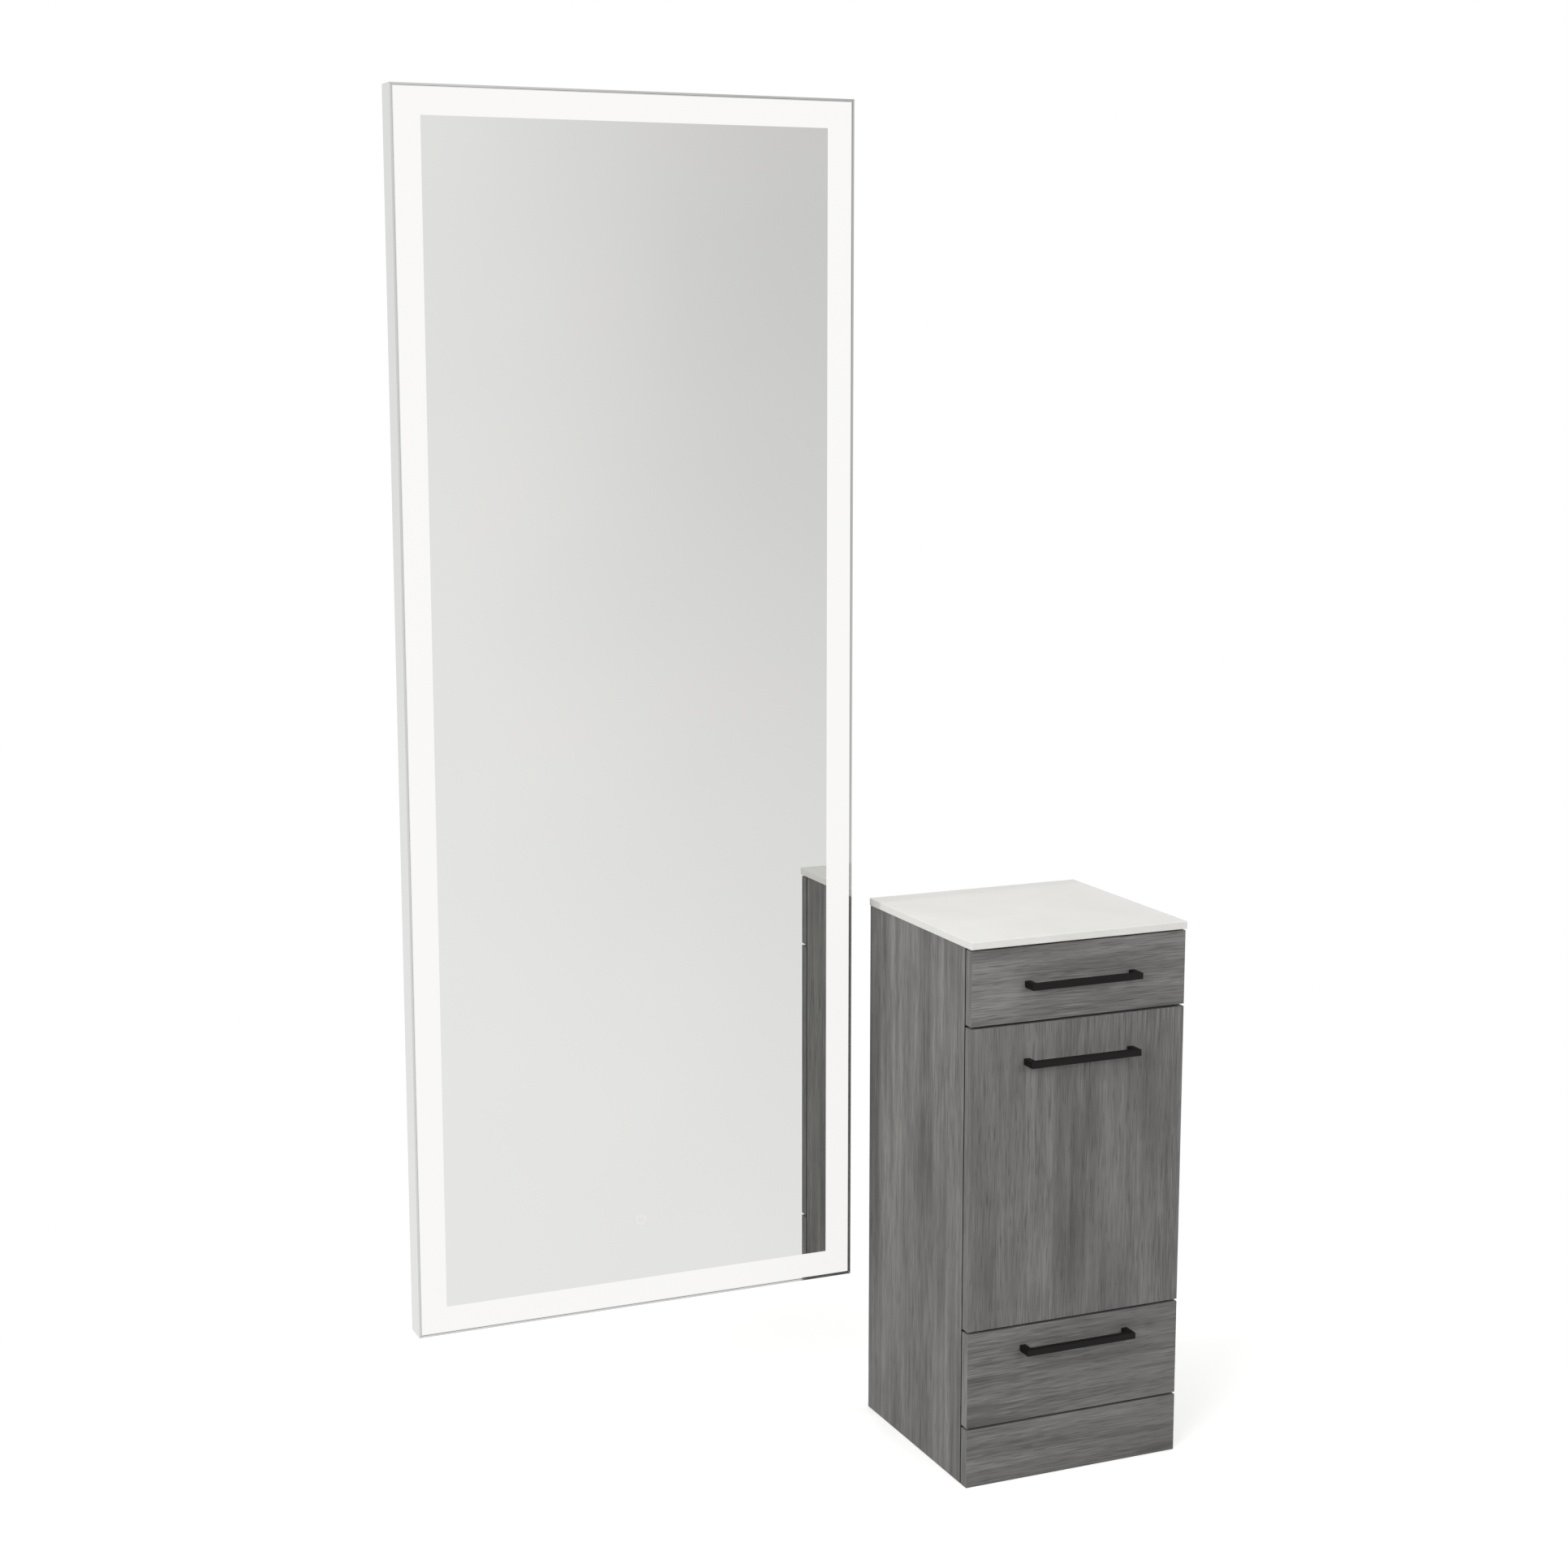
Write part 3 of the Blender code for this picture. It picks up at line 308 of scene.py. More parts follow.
def laminate(name, grain, shift, contrast):
    """Melamine paper printed as timber: satin grey bands with patches of streaks, hairs and short pores."""
    made, tree, shader, spot = fresh(name)
    sheet = add(tree, "ShaderNodeMapping", {"Location": shift}, {"Vector": spot})
    bend = add(
        tree,
        "ShaderNodeTexNoise",
        {"Scale": 1 / GRAIN_WANDER_LENGTH, "Detail": 1.0},
        {"Vector": sheet.outputs["Vector"]},
    )
    off = add(
        tree,
        "ShaderNodeVectorMath",
        {1: (0.5, 0.5, 0.5)},
        {0: bend.outputs["Color"]},
        operation="SUBTRACT",
    )
    reach = add(
        tree,
        "ShaderNodeVectorMath",
        {"Scale": 2 * GRAIN_WANDER},
        {0: off.outputs["Vector"]},
        operation="SCALE",
    )
    wander = add(
        tree,
        "ShaderNodeVectorMath",
        links={0: sheet.outputs["Vector"], 1: reach.outputs["Vector"]},
        operation="ADD",
    )
    layers = {}
    for layer, across, along, detail in (
        ("flame", FLAME_WIDTH, FLAME_LENGTH, 1.0),
        ("band", BAND_WIDTH, BAND_LENGTH, 1.0),
        ("streak", STREAK_WIDTH, STREAK_LENGTH, 1.0),
        ("hair", HAIR_WIDTH, HAIR_LENGTH, 1.0),
        ("pore", PORE_WIDTH, PORE_LENGTH, 0.0),
        ("patch", PATCH_SIZE, PATCH_SIZE, 2.0),
    ):
        stretched = add(
            tree,
            "ShaderNodeVectorMath",
            {1: [1 / along if axis == grain else 1 / across for axis in "XYZ"]},
            {0: wander.outputs["Vector"]},
            operation="MULTIPLY",
        )
        noise = add(
            tree,
            "ShaderNodeTexNoise",
            {"Scale": 1.0, "Detail": detail},
            {"Vector": stretched.outputs["Vector"]},
        )
        layers[layer] = noise.outputs["Fac"]
    strength = add(
        tree,
        "ShaderNodeMapRange",
        {"From Min": NOISE_LOW, "From Max": NOISE_HIGH, "To Min": STREAKS_LEAST, "To Max": STREAKS_MOST},
        {"Value": layers["patch"]},
    )
    broad = add(tree, "ShaderNodeMix", {SHARE: BAND_SHARE}, {FIRST: layers["flame"], SECOND: layers["band"]})
    fine = add(tree, "ShaderNodeMix", {SHARE: HAIR_SHARE}, {FIRST: layers["streak"], SECOND: layers["hair"]})
    tone = add(
        tree,
        "ShaderNodeMix",
        links={SHARE: strength.outputs["Result"], FIRST: broad.outputs[0], SECOND: fine.outputs[0]},
    )
    spread = TONE_SPREAD / contrast
    colours = add(
        tree,
        "ShaderNodeValToRGB",
        links={"Fac": tone.outputs[0]},
        stops=((0.5 - spread, LAMINATE_DARK), (0.5, LAMINATE_MID), (0.5 + spread, LAMINATE_LIGHT)),
    )
    pores = add(
        tree,
        "ShaderNodeMapRange",
        {"From Min": PORE_FROM, "From Max": PORE_FULL, "To Max": PORE_STRENGTH},
        {"Value": layers["pore"]},
    )
    printed = add(
        tree,
        "ShaderNodeMix",
        {SECOND_COLOUR: linear(LAMINATE_PORE)},
        {SHARE: pores.outputs["Result"], FIRST_COLOUR: colours.outputs["Color"]},
        data_type="RGBA",
    )
    satin = add(
        tree,
        "ShaderNodeMapRange",
        {"To Min": LAMINATE_ROUGHNESS[0], "To Max": LAMINATE_ROUGHNESS[1]},
        {"Value": layers["hair"]},
    )
    bump = add(
        tree,
        "ShaderNodeBump",
        {"Strength": 0.4, "Distance": PORE_DEPTH},
        {"Height": layers["pore"]},
        invert=True,
    )
    wire(
        tree,
        shader,
        {"IOR": LAMINATE_IOR, "Specular IOR Level": LAMINATE_SHINE},
        {
            "Base Color": printed.outputs[MIXED_COLOUR],
            "Roughness": satin.outputs["Result"],
            "Normal": bump.outputs["Normal"],
        },
    )
    return made


def board(node, grain, body, shift, contrast, trim_low, trim_high):
    """A laminated board in a node's place, its edging rounded and the print turned on the ends of the grain.

    The shift is where on the printed sheet it is cut, and the contrast how strong the print is there.
    """
    low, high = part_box(node)
    piece = block(node + "_laminated", low + Vector(trim_low), high - Vector(trim_high))
    across = "X" if grain == "Z" else "Z"
    piece.data.materials.append(laminate("printed_melamine_" + node, grain, shift, contrast))
    piece.data.materials.append(laminate("edging_" + node, across, shift, contrast))
    axis = "XYZ".index(grain)
    for face in piece.data.polygons:
        face.material_index = 1 if abs(face.normal[axis]) > LOOKS_ALONG else 0
    round_edges(piece, EDGING_RADIUS)
    fit(piece, body)
    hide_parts(node)


uncut, set_back, shortened = (0, 0, 0), (0, SIDE_TRIM, 0), (0, 0, FRONT_TRIM)
# The left side is cut where a light band of the grain lies just in front of the mirror: real print, placed as
# painted light along the strip that the mirror's edge throws there.
board("left_side_panel", "Z", "cabinet", (0.0, 0.31, 0.2), 1.12, set_back, uncut)
board("right_side_panel", "Z", "cabinet", (0.0, 1.7, 0.9), 1.12, set_back, uncut)
board("toe_kick_panel", "X", "cabinet", (0.4, 0.0, 2.3), 0.95, uncut, shortened)
board("bottom_drawer_front", "X", "bottom_drawer", (1.1, 0.0, 0.7), 1.0, shortened, shortened)
board("top_drawer_front", "X", "top_drawer", (2.9, 0.0, 0.1), 1.15, shortened, shortened)
board("door_panel", "Z", "tilt_door", (0.8, 0.0, 1.4), 0.8, shortened, shortened)


# Inner boards and drawer boxes: white melamine-faced chipboard, sawn, edged and doweled. Its paper has a
# shallow pressed pebble, which makes it matte. The drawer bottoms are fibreboard with the same white face.
DRAWERS = ("bottom", "top")
DIVIDERS = ("bottom_panel", "lower_divider", "upper_divider", "top_panel")
WHITE_BOARD_SHADES = ("#e2e1dd", "#e9e8e5")
WHITE_BOARD_CLOUD = 0.111
PEBBLE, PEBBLE_DEPTH = 0.0011, 0.0001


def refinish(nodes, finish):
    """Gives CAD nodes that keep their shape one shared finish."""
    for name in nodes:
        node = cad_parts[name]
        node.data.materials.clear()
        node.data.materials.append(finish)


white_board, tree, shader, spot = fresh("white_melamine_board")
pebble = add(tree, "ShaderNodeTexNoise", {"Scale": 1 / PEBBLE, "Detail": 1.0}, {"Vector": spot})
cloud = add(tree, "ShaderNodeTexNoise", {"Scale": 1 / WHITE_BOARD_CLOUD, "Detail": 2.0}, {"Vector": spot})
colours = add(
    tree,
    "ShaderNodeValToRGB",
    links={"Fac": cloud.outputs["Fac"]},
    stops=((NOISE_LOW, WHITE_BOARD_SHADES[0]), (NOISE_HIGH, WHITE_BOARD_SHADES[1])),
)
bump = add(
    tree,
    "ShaderNodeBump",
    {"Strength": 0.25, "Distance": PEBBLE_DEPTH},
    {"Height": pebble.outputs["Fac"]},
)
wire(
    tree,
    shader,
    {"Roughness": 0.5},
    {"Base Color": colours.outputs["Color"], "Normal": bump.outputs["Normal"]},
)
refinish(DIVIDERS, white_board)
for drawer in DRAWERS:
    box_boards = [f"{drawer}_drawer_{part}" for part in ("left_side", "right_side", "bottom", "back")]
    refinish(box_boards, white_board)


# Back panel: a 6 mm board let in between the side panels. Countersunk screws of bright zinc-plated steel,
# their heads just under its face, hold it to the rear edges of the boards inside.
SINK_RADIUS, SINK_DEPTH = 0.0045, 0.0030
SUNK_HEAD_RADIUS, SUNK_HEAD_DROP, SUNK_HEAD_LIP = 0.0041, 0.0003, 0.0002
SCREW_SHANK_RADIUS, SCREW_SHANK_LOW = 0.0014, -0.0026
SCREW_EDGE_DISTANCE = 0.035
# A screw's head is its outline, as radius and height from its seat up, and the floor of its crossed recess.
SUNK_HEAD = (
    (
        (SCREW_SHANK_RADIUS, SCREW_SHANK_LOW),
        (SUNK_HEAD_RADIUS, -SUNK_HEAD_DROP - SUNK_HEAD_LIP),
        (0.9 * SUNK_HEAD_RADIUS, -SUNK_HEAD_DROP),
    ),
    -0.0018,
)
RECESS_ARM, RECESS_HALF_BLADE = 0.58, 0.13
HEAD_SIDES = 24
SMOOTH_ANGLE_DEG = 35
WEAR_SIZE = 0.002
FORWARDS, REARWARDS = (0, -1, 0), (0, 1, 0)


def turned(name, profile, sides):
    """A part turned about +Z: a disc drawn up and resized through each radius and height of its profile."""
    bpy.ops.object.select_all(action="DESELECT")
    radius, height = profile[0]
    start = (0, 0, height)
    bpy.ops.mesh.primitive_circle_add(vertices=sides, radius=radius, fill_type="NGON", location=start)
    piece = bpy.context.object
    piece.name = name
    bpy.ops.object.transform_apply(location=True)
    bpy.ops.object.mode_set(mode="EDIT")
    bpy.ops.mesh.select_all(action="SELECT")
    for wide, high in profile[1:]:
        bpy.ops.mesh.extrude_region_move(TRANSFORM_OT_translate={"value": (0, 0, high - height)})
        ratio = wide / radius
        bpy.ops.transform.resize(value=(ratio, ratio, 1), center_override=(0, 0, high))
        radius, height = wide, high
    bpy.ops.mesh.select_all(action="SELECT")
    bpy.ops.mesh.normals_make_consistent(inside=False)
    bpy.ops.object.mode_set(mode="OBJECT")
    return piece


def cut(piece, cutter):
    """Cuts one shape out of a piece, and removes the cutter."""
    select_only(piece)
    bpy.ops.object.modifier_add(type="BOOLEAN")
    change = piece.modifiers[-1]
    change.operation = "DIFFERENCE"
    change.solver = "EXACT"
    change.object = cutter
    bpy.ops.object.modifier_apply(modifier=change.name)
    bpy.data.objects.remove(cutter)


def seated(name, master, seats, facing):
    """Copies a small part to each of its seats, turned so that its +Z faces one way, and joins them."""
    turn = Vector(facing).to_track_quat("Z", "X").to_euler()
    copies = []
    for seat in seats:
        select_only(master)
        bpy.ops.object.duplicate()
        copy = bpy.context.object
        copy.rotation_euler = turn
        copy.location = seat
        bpy.ops.object.transform_apply(location=True, rotation=True, scale=True)
        copies.append(copy)
    bpy.data.objects.remove(master)
    bpy.ops.object.select_all(action="DESELECT")
    for copy in copies:
        copy.select_set(True)
    bpy.context.view_layer.objects.active = copies[0]
    bpy.ops.object.join()
    piece = bpy.context.object
    piece.name = name
    bpy.ops.object.shade_smooth_by_angle(angle=math.radians(SMOOTH_ANGLE_DEG))
    return piece


def screws(name, head, seats, facing, body):
    """Screws of one kind on their seats, each a turned head with a cross-shaped recess for the driver."""
    profile, recess_low = head
    screw = turned("screw_head", profile, HEAD_SIDES)
    widest = max(radius for radius, height in profile)
    top = profile[-1][1]
    arm, half_blade = RECESS_ARM * widest, RECESS_HALF_BLADE * widest
    for across, along in ((arm, half_blade), (half_blade, arm)):
        cut(screw, block("driver_blade", (-across, -along, recess_low), (across, along, top + arm)))
    fit(seated(name, screw, seats, facing), body, zinc_screw)


low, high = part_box("back_panel")
seats = []
for node in DIVIDERS:
    divider_low, divider_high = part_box(node)
    for across in (low.x + SCREW_EDGE_DISTANCE, (low.x + high.x) / 2, high.x - SCREW_EDGE_DISTANCE):
        seats.append((across, high.y, (divider_low.z + divider_high.z) / 2))
back = block("back_panel_with_countersinks", low, high)
countersink = [(SINK_RADIUS - SINK_DEPTH, -SINK_DEPTH), (SINK_RADIUS, 0.0), (SINK_RADIUS, SINK_DEPTH)]
cut(back, seated("sinks", turned("sink", countersink, HEAD_SIDES), seats, REARWARDS))
fit(back, "cabinet", white_board)
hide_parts("back_panel")
zinc_screw, tree, shader, spot = fresh("bright_zinc_plated_screw")
wear = add(tree, "ShaderNodeTexNoise", {"Scale": 1 / WEAR_SIZE, "Detail": 2.0}, {"Vector": spot})
satin = add(tree, "ShaderNodeMapRange", {"To Min": 0.22, "To Max": 0.40}, {"Value": wear.outputs["Fac"]})
wire(
    tree,
    shader,
    {"Base Color": linear("#c4c7c9"), "Metallic": 1.0},
    {"Roughness": satin.outputs["Result"]},
)
screws("back_panel_screws", SUNK_HEAD, seats, REARWARDS, "cabinet")


# Painted seam shade: a black strip, textured as closed-cell foam, stuck on the front edges of the side
# panels.
# The fronts and the toe kick close against it, and it paints the seam's shade as a dark line between the
# sides and the fronts.
SHADE_STRIP_THICKNESS = 0.0021
SHADE_STRIP_INSET = 0.0002
SHADE_STRIP_ROUNDING = 0.0003
FOAM_CELL, FOAM_CELL_DEPTH = 0.0009, 0.0001
seam_shade_foam, tree, shader, spot = fresh("black_foam_painting_seam_shade")
cells = add(tree, "ShaderNodeTexVoronoi", {"Scale": 1 / FOAM_CELL}, {"Vector": spot})
dark = add(
    tree,
    "ShaderNodeValToRGB",
    links={"Fac": cells.outputs["Distance"]},
    stops=((0.0, "#070707"), (0.8, "#131312")),
)
bump = add(
    tree,
    "ShaderNodeBump",
    {"Strength": 0.4, "Distance": FOAM_CELL_DEPTH},
    {"Height": cells.outputs["Distance"]},
)
wire(
    tree,
    shader,
    {"Roughness": 0.9, "Specular IOR Level": 0.1},
    {"Base Color": dark.outputs["Color"], "Normal": bump.outputs["Normal"]},
)
# The strips are painted shade: black put in the seams, where only shadow falls.
for side in ("left", "right"):
    low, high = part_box(side + "_side_panel")
    shade_strip = block(
        "seam_shade_strip_" + side,
        (low.x + SHADE_STRIP_INSET, low.y - SHADE_STRIP_THICKNESS, low.z + SHADE_STRIP_INSET),
        (high.x - SHADE_STRIP_INSET, low.y + SIDE_TRIM, high.z - SHADE_STRIP_INSET),
    )
    round_edges(shade_strip, SHADE_STRIP_ROUNDING, 2)
    fit(shade_strip, "cabinet", seam_shade_foam)


# Worktop: a 12 mm slab of honed quartz composite, off-white with faint grey clouding and a fine darker grit,
# its edges eased by hand. It is glued down on the carcass.
WORKTOP_EASING = 0.0014
STONE_CLOUD = 0.14
STONE_SHADES = ((0.30, "#d8d7d3"), (0.50, "#dbdad6"), (0.68, "#dedddb"))
GRIT_SIZE = 0.0014
GRIT_COLOUR = "#c9c7c2"
low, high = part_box("worktop")
worktop = block("worktop_slab", low, high)
round_edges(worktop, WORKTOP_EASING)
quartz, tree, shader, spot = fresh("honed_quartz_composite")
cloud = add(
    tree,
    "ShaderNodeTexNoise",
    {"Scale": 1 / STONE_CLOUD, "Detail": 4.0, "Roughness": 0.5, "Distortion": 0.6},
    {"Vector": spot},
)
clouding = add(tree, "ShaderNodeValToRGB", links={"Fac": cloud.outputs["Fac"]}, stops=STONE_SHADES)
grit = add(tree, "ShaderNodeTexNoise", {"Scale": 1 / GRIT_SIZE, "Detail": 2.0}, {"Vector": spot})
speck = add(
    tree,
    "ShaderNodeMapRange",
    {"From Min": 0.62, "From Max": 0.75, "To Max": 0.10},
    {"Value": grit.outputs["Fac"]},
)
stone = add(
    tree,
    "ShaderNodeMix",
    {SECOND_COLOUR: linear(GRIT_COLOUR)},
    {SHARE: speck.outputs["Result"], FIRST_COLOUR: clouding.outputs["Color"]},
    data_type="RGBA",
)
wire(
    tree,
    shader,
    {"Roughness": 0.46, "IOR": 1.54, "Specular IOR Level": 0.3},
    {"Base Color": stone.outputs[MIXED_COLOUR]},
)
fit(worktop, "cabinet", quartz)
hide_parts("worktop")


# Bar handles: square 10 mm steel bar, mitred and welded to a leg at each end, powder coated black in a fine
# satin texture. Each is held by two pan-head screws from the back of its front.
HANDLE_BAR = 0.010
HANDLE_ROUNDING = 0.0009
PEEL_DEPTH = 0.0001
PEEL_ROUGHNESS = 0.06
PAN_HEAD = ((0.0037, 0.0), (0.0040, 0.0006), (0.0039, 0.0013), (0.0031, 0.0019), (0.0016, 0.0022)), 0.0009


def powder_coat(name, colour, roughness, peel_size, shine):
    """Baked powder paint: even colour and a satin skin with a shallow peel that breaks up its highlights."""
    made, tree, shader, spot = fresh(name)
    peel = add(tree, "ShaderNodeTexNoise", {"Scale": 1 / peel_size, "Detail": 2.0}, {"Vector": spot})
    bump = add(
        tree,
        "ShaderNodeBump",
        {"Strength": 0.35, "Distance": PEEL_DEPTH},
        {"Height": peel.outputs["Fac"]},
    )
    satin = add(
        tree,
        "ShaderNodeMapRange",
        {"To Min": roughness - PEEL_ROUGHNESS, "To Max": roughness + PEEL_ROUGHNESS},
        {"Value": peel.outputs["Fac"]},
    )
    wire(
        tree,
        shader,
        {"Base Color": linear(colour), "Specular IOR Level": shine},
        {"Roughness": satin.outputs["Result"], "Normal": bump.outputs["Normal"]},
    )
    return made


black_coat = powder_coat("black_powder_coat", "#100e0d", 0.52, 0.0011, 0.15)
for node, front, body in (
    ("bottom_drawer_handle", "bottom_drawer_front", "bottom_drawer"),
    ("door_handle", "door_panel", "tilt_door"),
    ("top_drawer_handle", "top_drawer_front", "top_drawer"),
):
    low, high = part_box(node)
    handle = block(node + "_bar", low, high)
    between_low = (low.x + HANDLE_BAR, low.y + HANDLE_BAR, low.z - HANDLE_BAR)
    between_high = (high.x - HANDLE_BAR, high.y + HANDLE_BAR, high.z + HANDLE_BAR)
    cut(handle, block("room_for_fingers", between_low, between_high))
    round_edges(handle, HANDLE_ROUNDING)
    fit(handle, body, black_coat)
    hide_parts(node)
    behind, middle_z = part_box(front)[1].y, (low.z + high.z) / 2
    seats = [(x, behind, middle_z) for x in (low.x + HANDLE_BAR / 2, high.x - HANDLE_BAR / 2)]
    screws(node + "_screws", PAN_HEAD, seats, REARWARDS, body)


# Drawer slides, door hinges and the stay: cold-rolled steel strip, pressed and zinc plated, with rivets for
# pins. The plating is bluish, cloudy where it pools, over fine rolling lines. Pan-head screws hold the inner
# members of the slides, the hinge plates, the stay's plate and the door's brackets.
SIDES = (("left", 1), ("right", -1))
SLIDE_WALL = 0.0012
SLIDE_SCREW_PLACES = (0.12, 0.5, 0.88)
HINGE_STEEL = 0.002
PLATE_SCREW_INSET = 0.007
BRACKET_SCREW_INSET = 0.008
STAY_BRACKET_SCREW_INSET = 0.0065
POOL_SIZE = 0.01667
# Real rolling lines are too fine to show, so they are drawn about a millimetre wide.
ROLLING_WIDTH, ROLLING_LENGTH, ROLLING_DEPTH = 0.00111, 0.125, 0.00003
zinc, tree, shader, spot = fresh("bright_zinc_plated_steel")
pool = add(tree, "ShaderNodeTexNoise", {"Scale": 1 / POOL_SIZE, "Detail": 3.0}, {"Vector": spot})
colours = add(
    tree,
    "ShaderNodeValToRGB",
    links={"Fac": pool.outputs["Fac"]},
    stops=((0.3, "#b3b7bb"), (0.7, "#cdd0d2")),
)
lines = add(
    tree,
    "ShaderNodeVectorMath",
    {1: (1 / ROLLING_WIDTH, 1 / ROLLING_LENGTH, 1 / ROLLING_WIDTH)},
    {0: spot},
    operation="MULTIPLY",
)
rolling = add(tree, "ShaderNodeTexNoise", {"Scale": 1.0, "Detail": 1.0}, {"Vector": lines.outputs["Vector"]})
bump = add(
    tree,
    "ShaderNodeBump",
    {"Strength": 0.2, "Distance": ROLLING_DEPTH},
    {"Height": rolling.outputs["Fac"]},
)
satin = add(tree, "ShaderNodeMapRange", {"To Min": 0.26, "To Max": 0.44}, {"Value": pool.outputs["Fac"]})
wire(
    tree,
    shader,
    {"Metallic": 1.0},
    {
        "Base Color": colours.outputs["Color"],
        "Roughness": satin.outputs["Result"],
        "Normal": bump.outputs["Normal"],
    },
)
for drawer in DRAWERS:
    for side, inward in SIDES:
        refinish([f"{drawer}_slide_{member}_{side}" for member in ("outer", "middle", "inner")], zinc)
        low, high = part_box(f"{drawer}_slide_inner_{side}")
        web = high.x - SLIDE_WALL if inward > 0 else low.x + SLIDE_WALL
        middle_z = (low.z + high.z) / 2
        seats = [(web, low.y + (high.y - low.y) * part, middle_z) for part in SLIDE_SCREW_PLACES]
        screws(f"{drawer}_slide_screws_{side}", PAN_HEAD, seats, (-inward, 0, 0), drawer + "_drawer")
for side, inward in SIDES:
    refinish([f"{part}_{side}" for part in ("door_hinge_plate", "door_link", "door_hinge_bracket")], zinc)
    low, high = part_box("door_hinge_plate_" + side)
    face = low.x + HINGE_STEEL if inward > 0 else high.x - HINGE_STEEL
    front, rear = low.y + PLATE_SCREW_INSET, high.y - PLATE_SCREW_INSET
    under, above = low.z + PLATE_SCREW_INSET, high.z - PLATE_SCREW_INSET
    seats = [(face, front, above), (face, rear, above), (face, rear, under)]
    screws("hinge_plate_screws_" + side, PAN_HEAD, seats, (inward, 0, 0), "cabinet")
    low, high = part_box("door_hinge_bracket_" + side)
    across = high.x - BRACKET_SCREW_INSET if inward > 0 else low.x + BRACKET_SCREW_INSET
    face = low.y + HINGE_STEEL
    seats = [(across, face, z) for z in (low.z + BRACKET_SCREW_INSET, high.z - BRACKET_SCREW_INSET)]
    screws("hinge_bracket_screws_" + side, PAN_HEAD, seats, REARWARDS, "tilt_door")
refinish(("stay_post_plate", "stay_arm", "stay_door_bracket"), zinc)
low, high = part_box("stay_post_plate")
face = high.x - HINGE_STEEL
seats = [
    (face, low.y + PLATE_SCREW_INSET, low.z + PLATE_SCREW_INSET),
    (face, high.y - PLATE_SCREW_INSET, high.z - PLATE_SCREW_INSET),
]
screws("stay_plate_screws", PAN_HEAD, seats, (-1, 0, 0), "cabinet")
low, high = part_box("stay_door_bracket")
across, face = low.x + BRACKET_SCREW_INSET, low.y + HINGE_STEEL
seats = [(across, face, z) for z in (low.z + STAY_BRACKET_SCREW_INSET, high.z - STAY_BRACKET_SCREW_INSET)]
screws("stay_bracket_screws", PAN_HEAD, seats, REARWARDS, "tilt_door")


# Tool holder: a folded steel shelf, powder coated black and screwed to the back of the door, with stainless
# steel cups hung in its holes. The cups are spun from sheet on a lathe, which leaves fine rings round them.
SHELF_STEEL = 0.0015
SHELF_SCREW_RISE, SHELF_SCREW_INSET = 0.012, 0.030
CUP_WALL = 0.0012
CUP_RIM = 0.004
CUP_FOOT, CUP_FOOT_STEPS = 0.006, 4
CUP_BEAD = 0.0006
CUP_SIDES = 64
RING_PITCH, RING_LENGTH, RING_DEPTH = 0.0007, 0.5, 0.00004
refinish(("tool_holder_shelf",), black_coat)
low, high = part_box("tool_holder_shelf")
face, height = low.y + SHELF_STEEL, low.z + SHELF_SCREW_RISE
places = (low.x + SHELF_SCREW_INSET, (low.x + high.x) / 2, high.x - SHELF_SCREW_INSET)
screws("shelf_screws", PAN_HEAD, [(x, face, height) for x in places], REARWARDS, "tilt_door")
spun, tree, shader, spot = fresh("spun_stainless_steel")
rings = add(
    tree,
    "ShaderNodeVectorMath",
    {1: (1 / RING_LENGTH, 1 / RING_LENGTH, 1 / RING_PITCH)},
    {0: spot},
    operation="MULTIPLY",
)
lathe = add(tree, "ShaderNodeTexNoise", {"Scale": 1.0, "Detail": 2.0}, {"Vector": rings.outputs["Vector"]})
bump = add(
    tree,
    "ShaderNodeBump",
    {"Strength": 0.3, "Distance": RING_DEPTH},
    {"Height": lathe.outputs["Fac"]},
)
satin = add(tree, "ShaderNodeMapRange", {"To Min": 0.2, "To Max": 0.34}, {"Value": lathe.outputs["Fac"]})
wire(
    tree,
    shader,
    {"Base Color": linear("#cbcac8"), "Metallic": 1.0},
    {"Roughness": satin.outputs["Result"], "Normal": bump.outputs["Normal"]},
)
for number in (1, 2, 3):
    node = f"tool_canister_{number}"
    low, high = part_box(node)
    rim = (high.x - low.x) / 2
    wall = rim - CUP_RIM
    tall = high.z - low.z
    outside, inside = [], []
    for step in range(CUP_FOOT_STEPS + 1):
        turn = step / CUP_FOOT_STEPS * math.pi / 2
        radius = wall - CUP_FOOT * (1 - math.sin(turn))
        height = CUP_FOOT * (1 - math.cos(turn))
        outside.append((radius, height))
        inside.append((radius - CUP_WALL * math.sin(turn), height + CUP_WALL * math.cos(turn)))
    lip = [
        (wall, tall - CUP_WALL),
        (rim - CUP_BEAD, tall - CUP_WALL),
        (rim, tall - CUP_WALL + CUP_BEAD / 2),
        (rim, tall - CUP_BEAD / 2),
        (rim - CUP_BEAD, tall),
        (wall + CUP_BEAD, tall),
        (wall - CUP_WALL, tall - 1.5 * CUP_BEAD),
    ]
    cup = turned(node + "_spun", outside + lip + inside[::-1], CUP_SIDES)
    cup.location = ((low.x + high.x) / 2, (low.y + high.y) / 2, low.z)
    select_only(cup)
    bpy.ops.object.transform_apply(location=True)
    bpy.ops.object.shade_smooth_by_angle(angle=math.radians(SMOOTH_ANGLE_DEG))
    fit(cup, "tilt_door", spun)
    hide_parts(node)


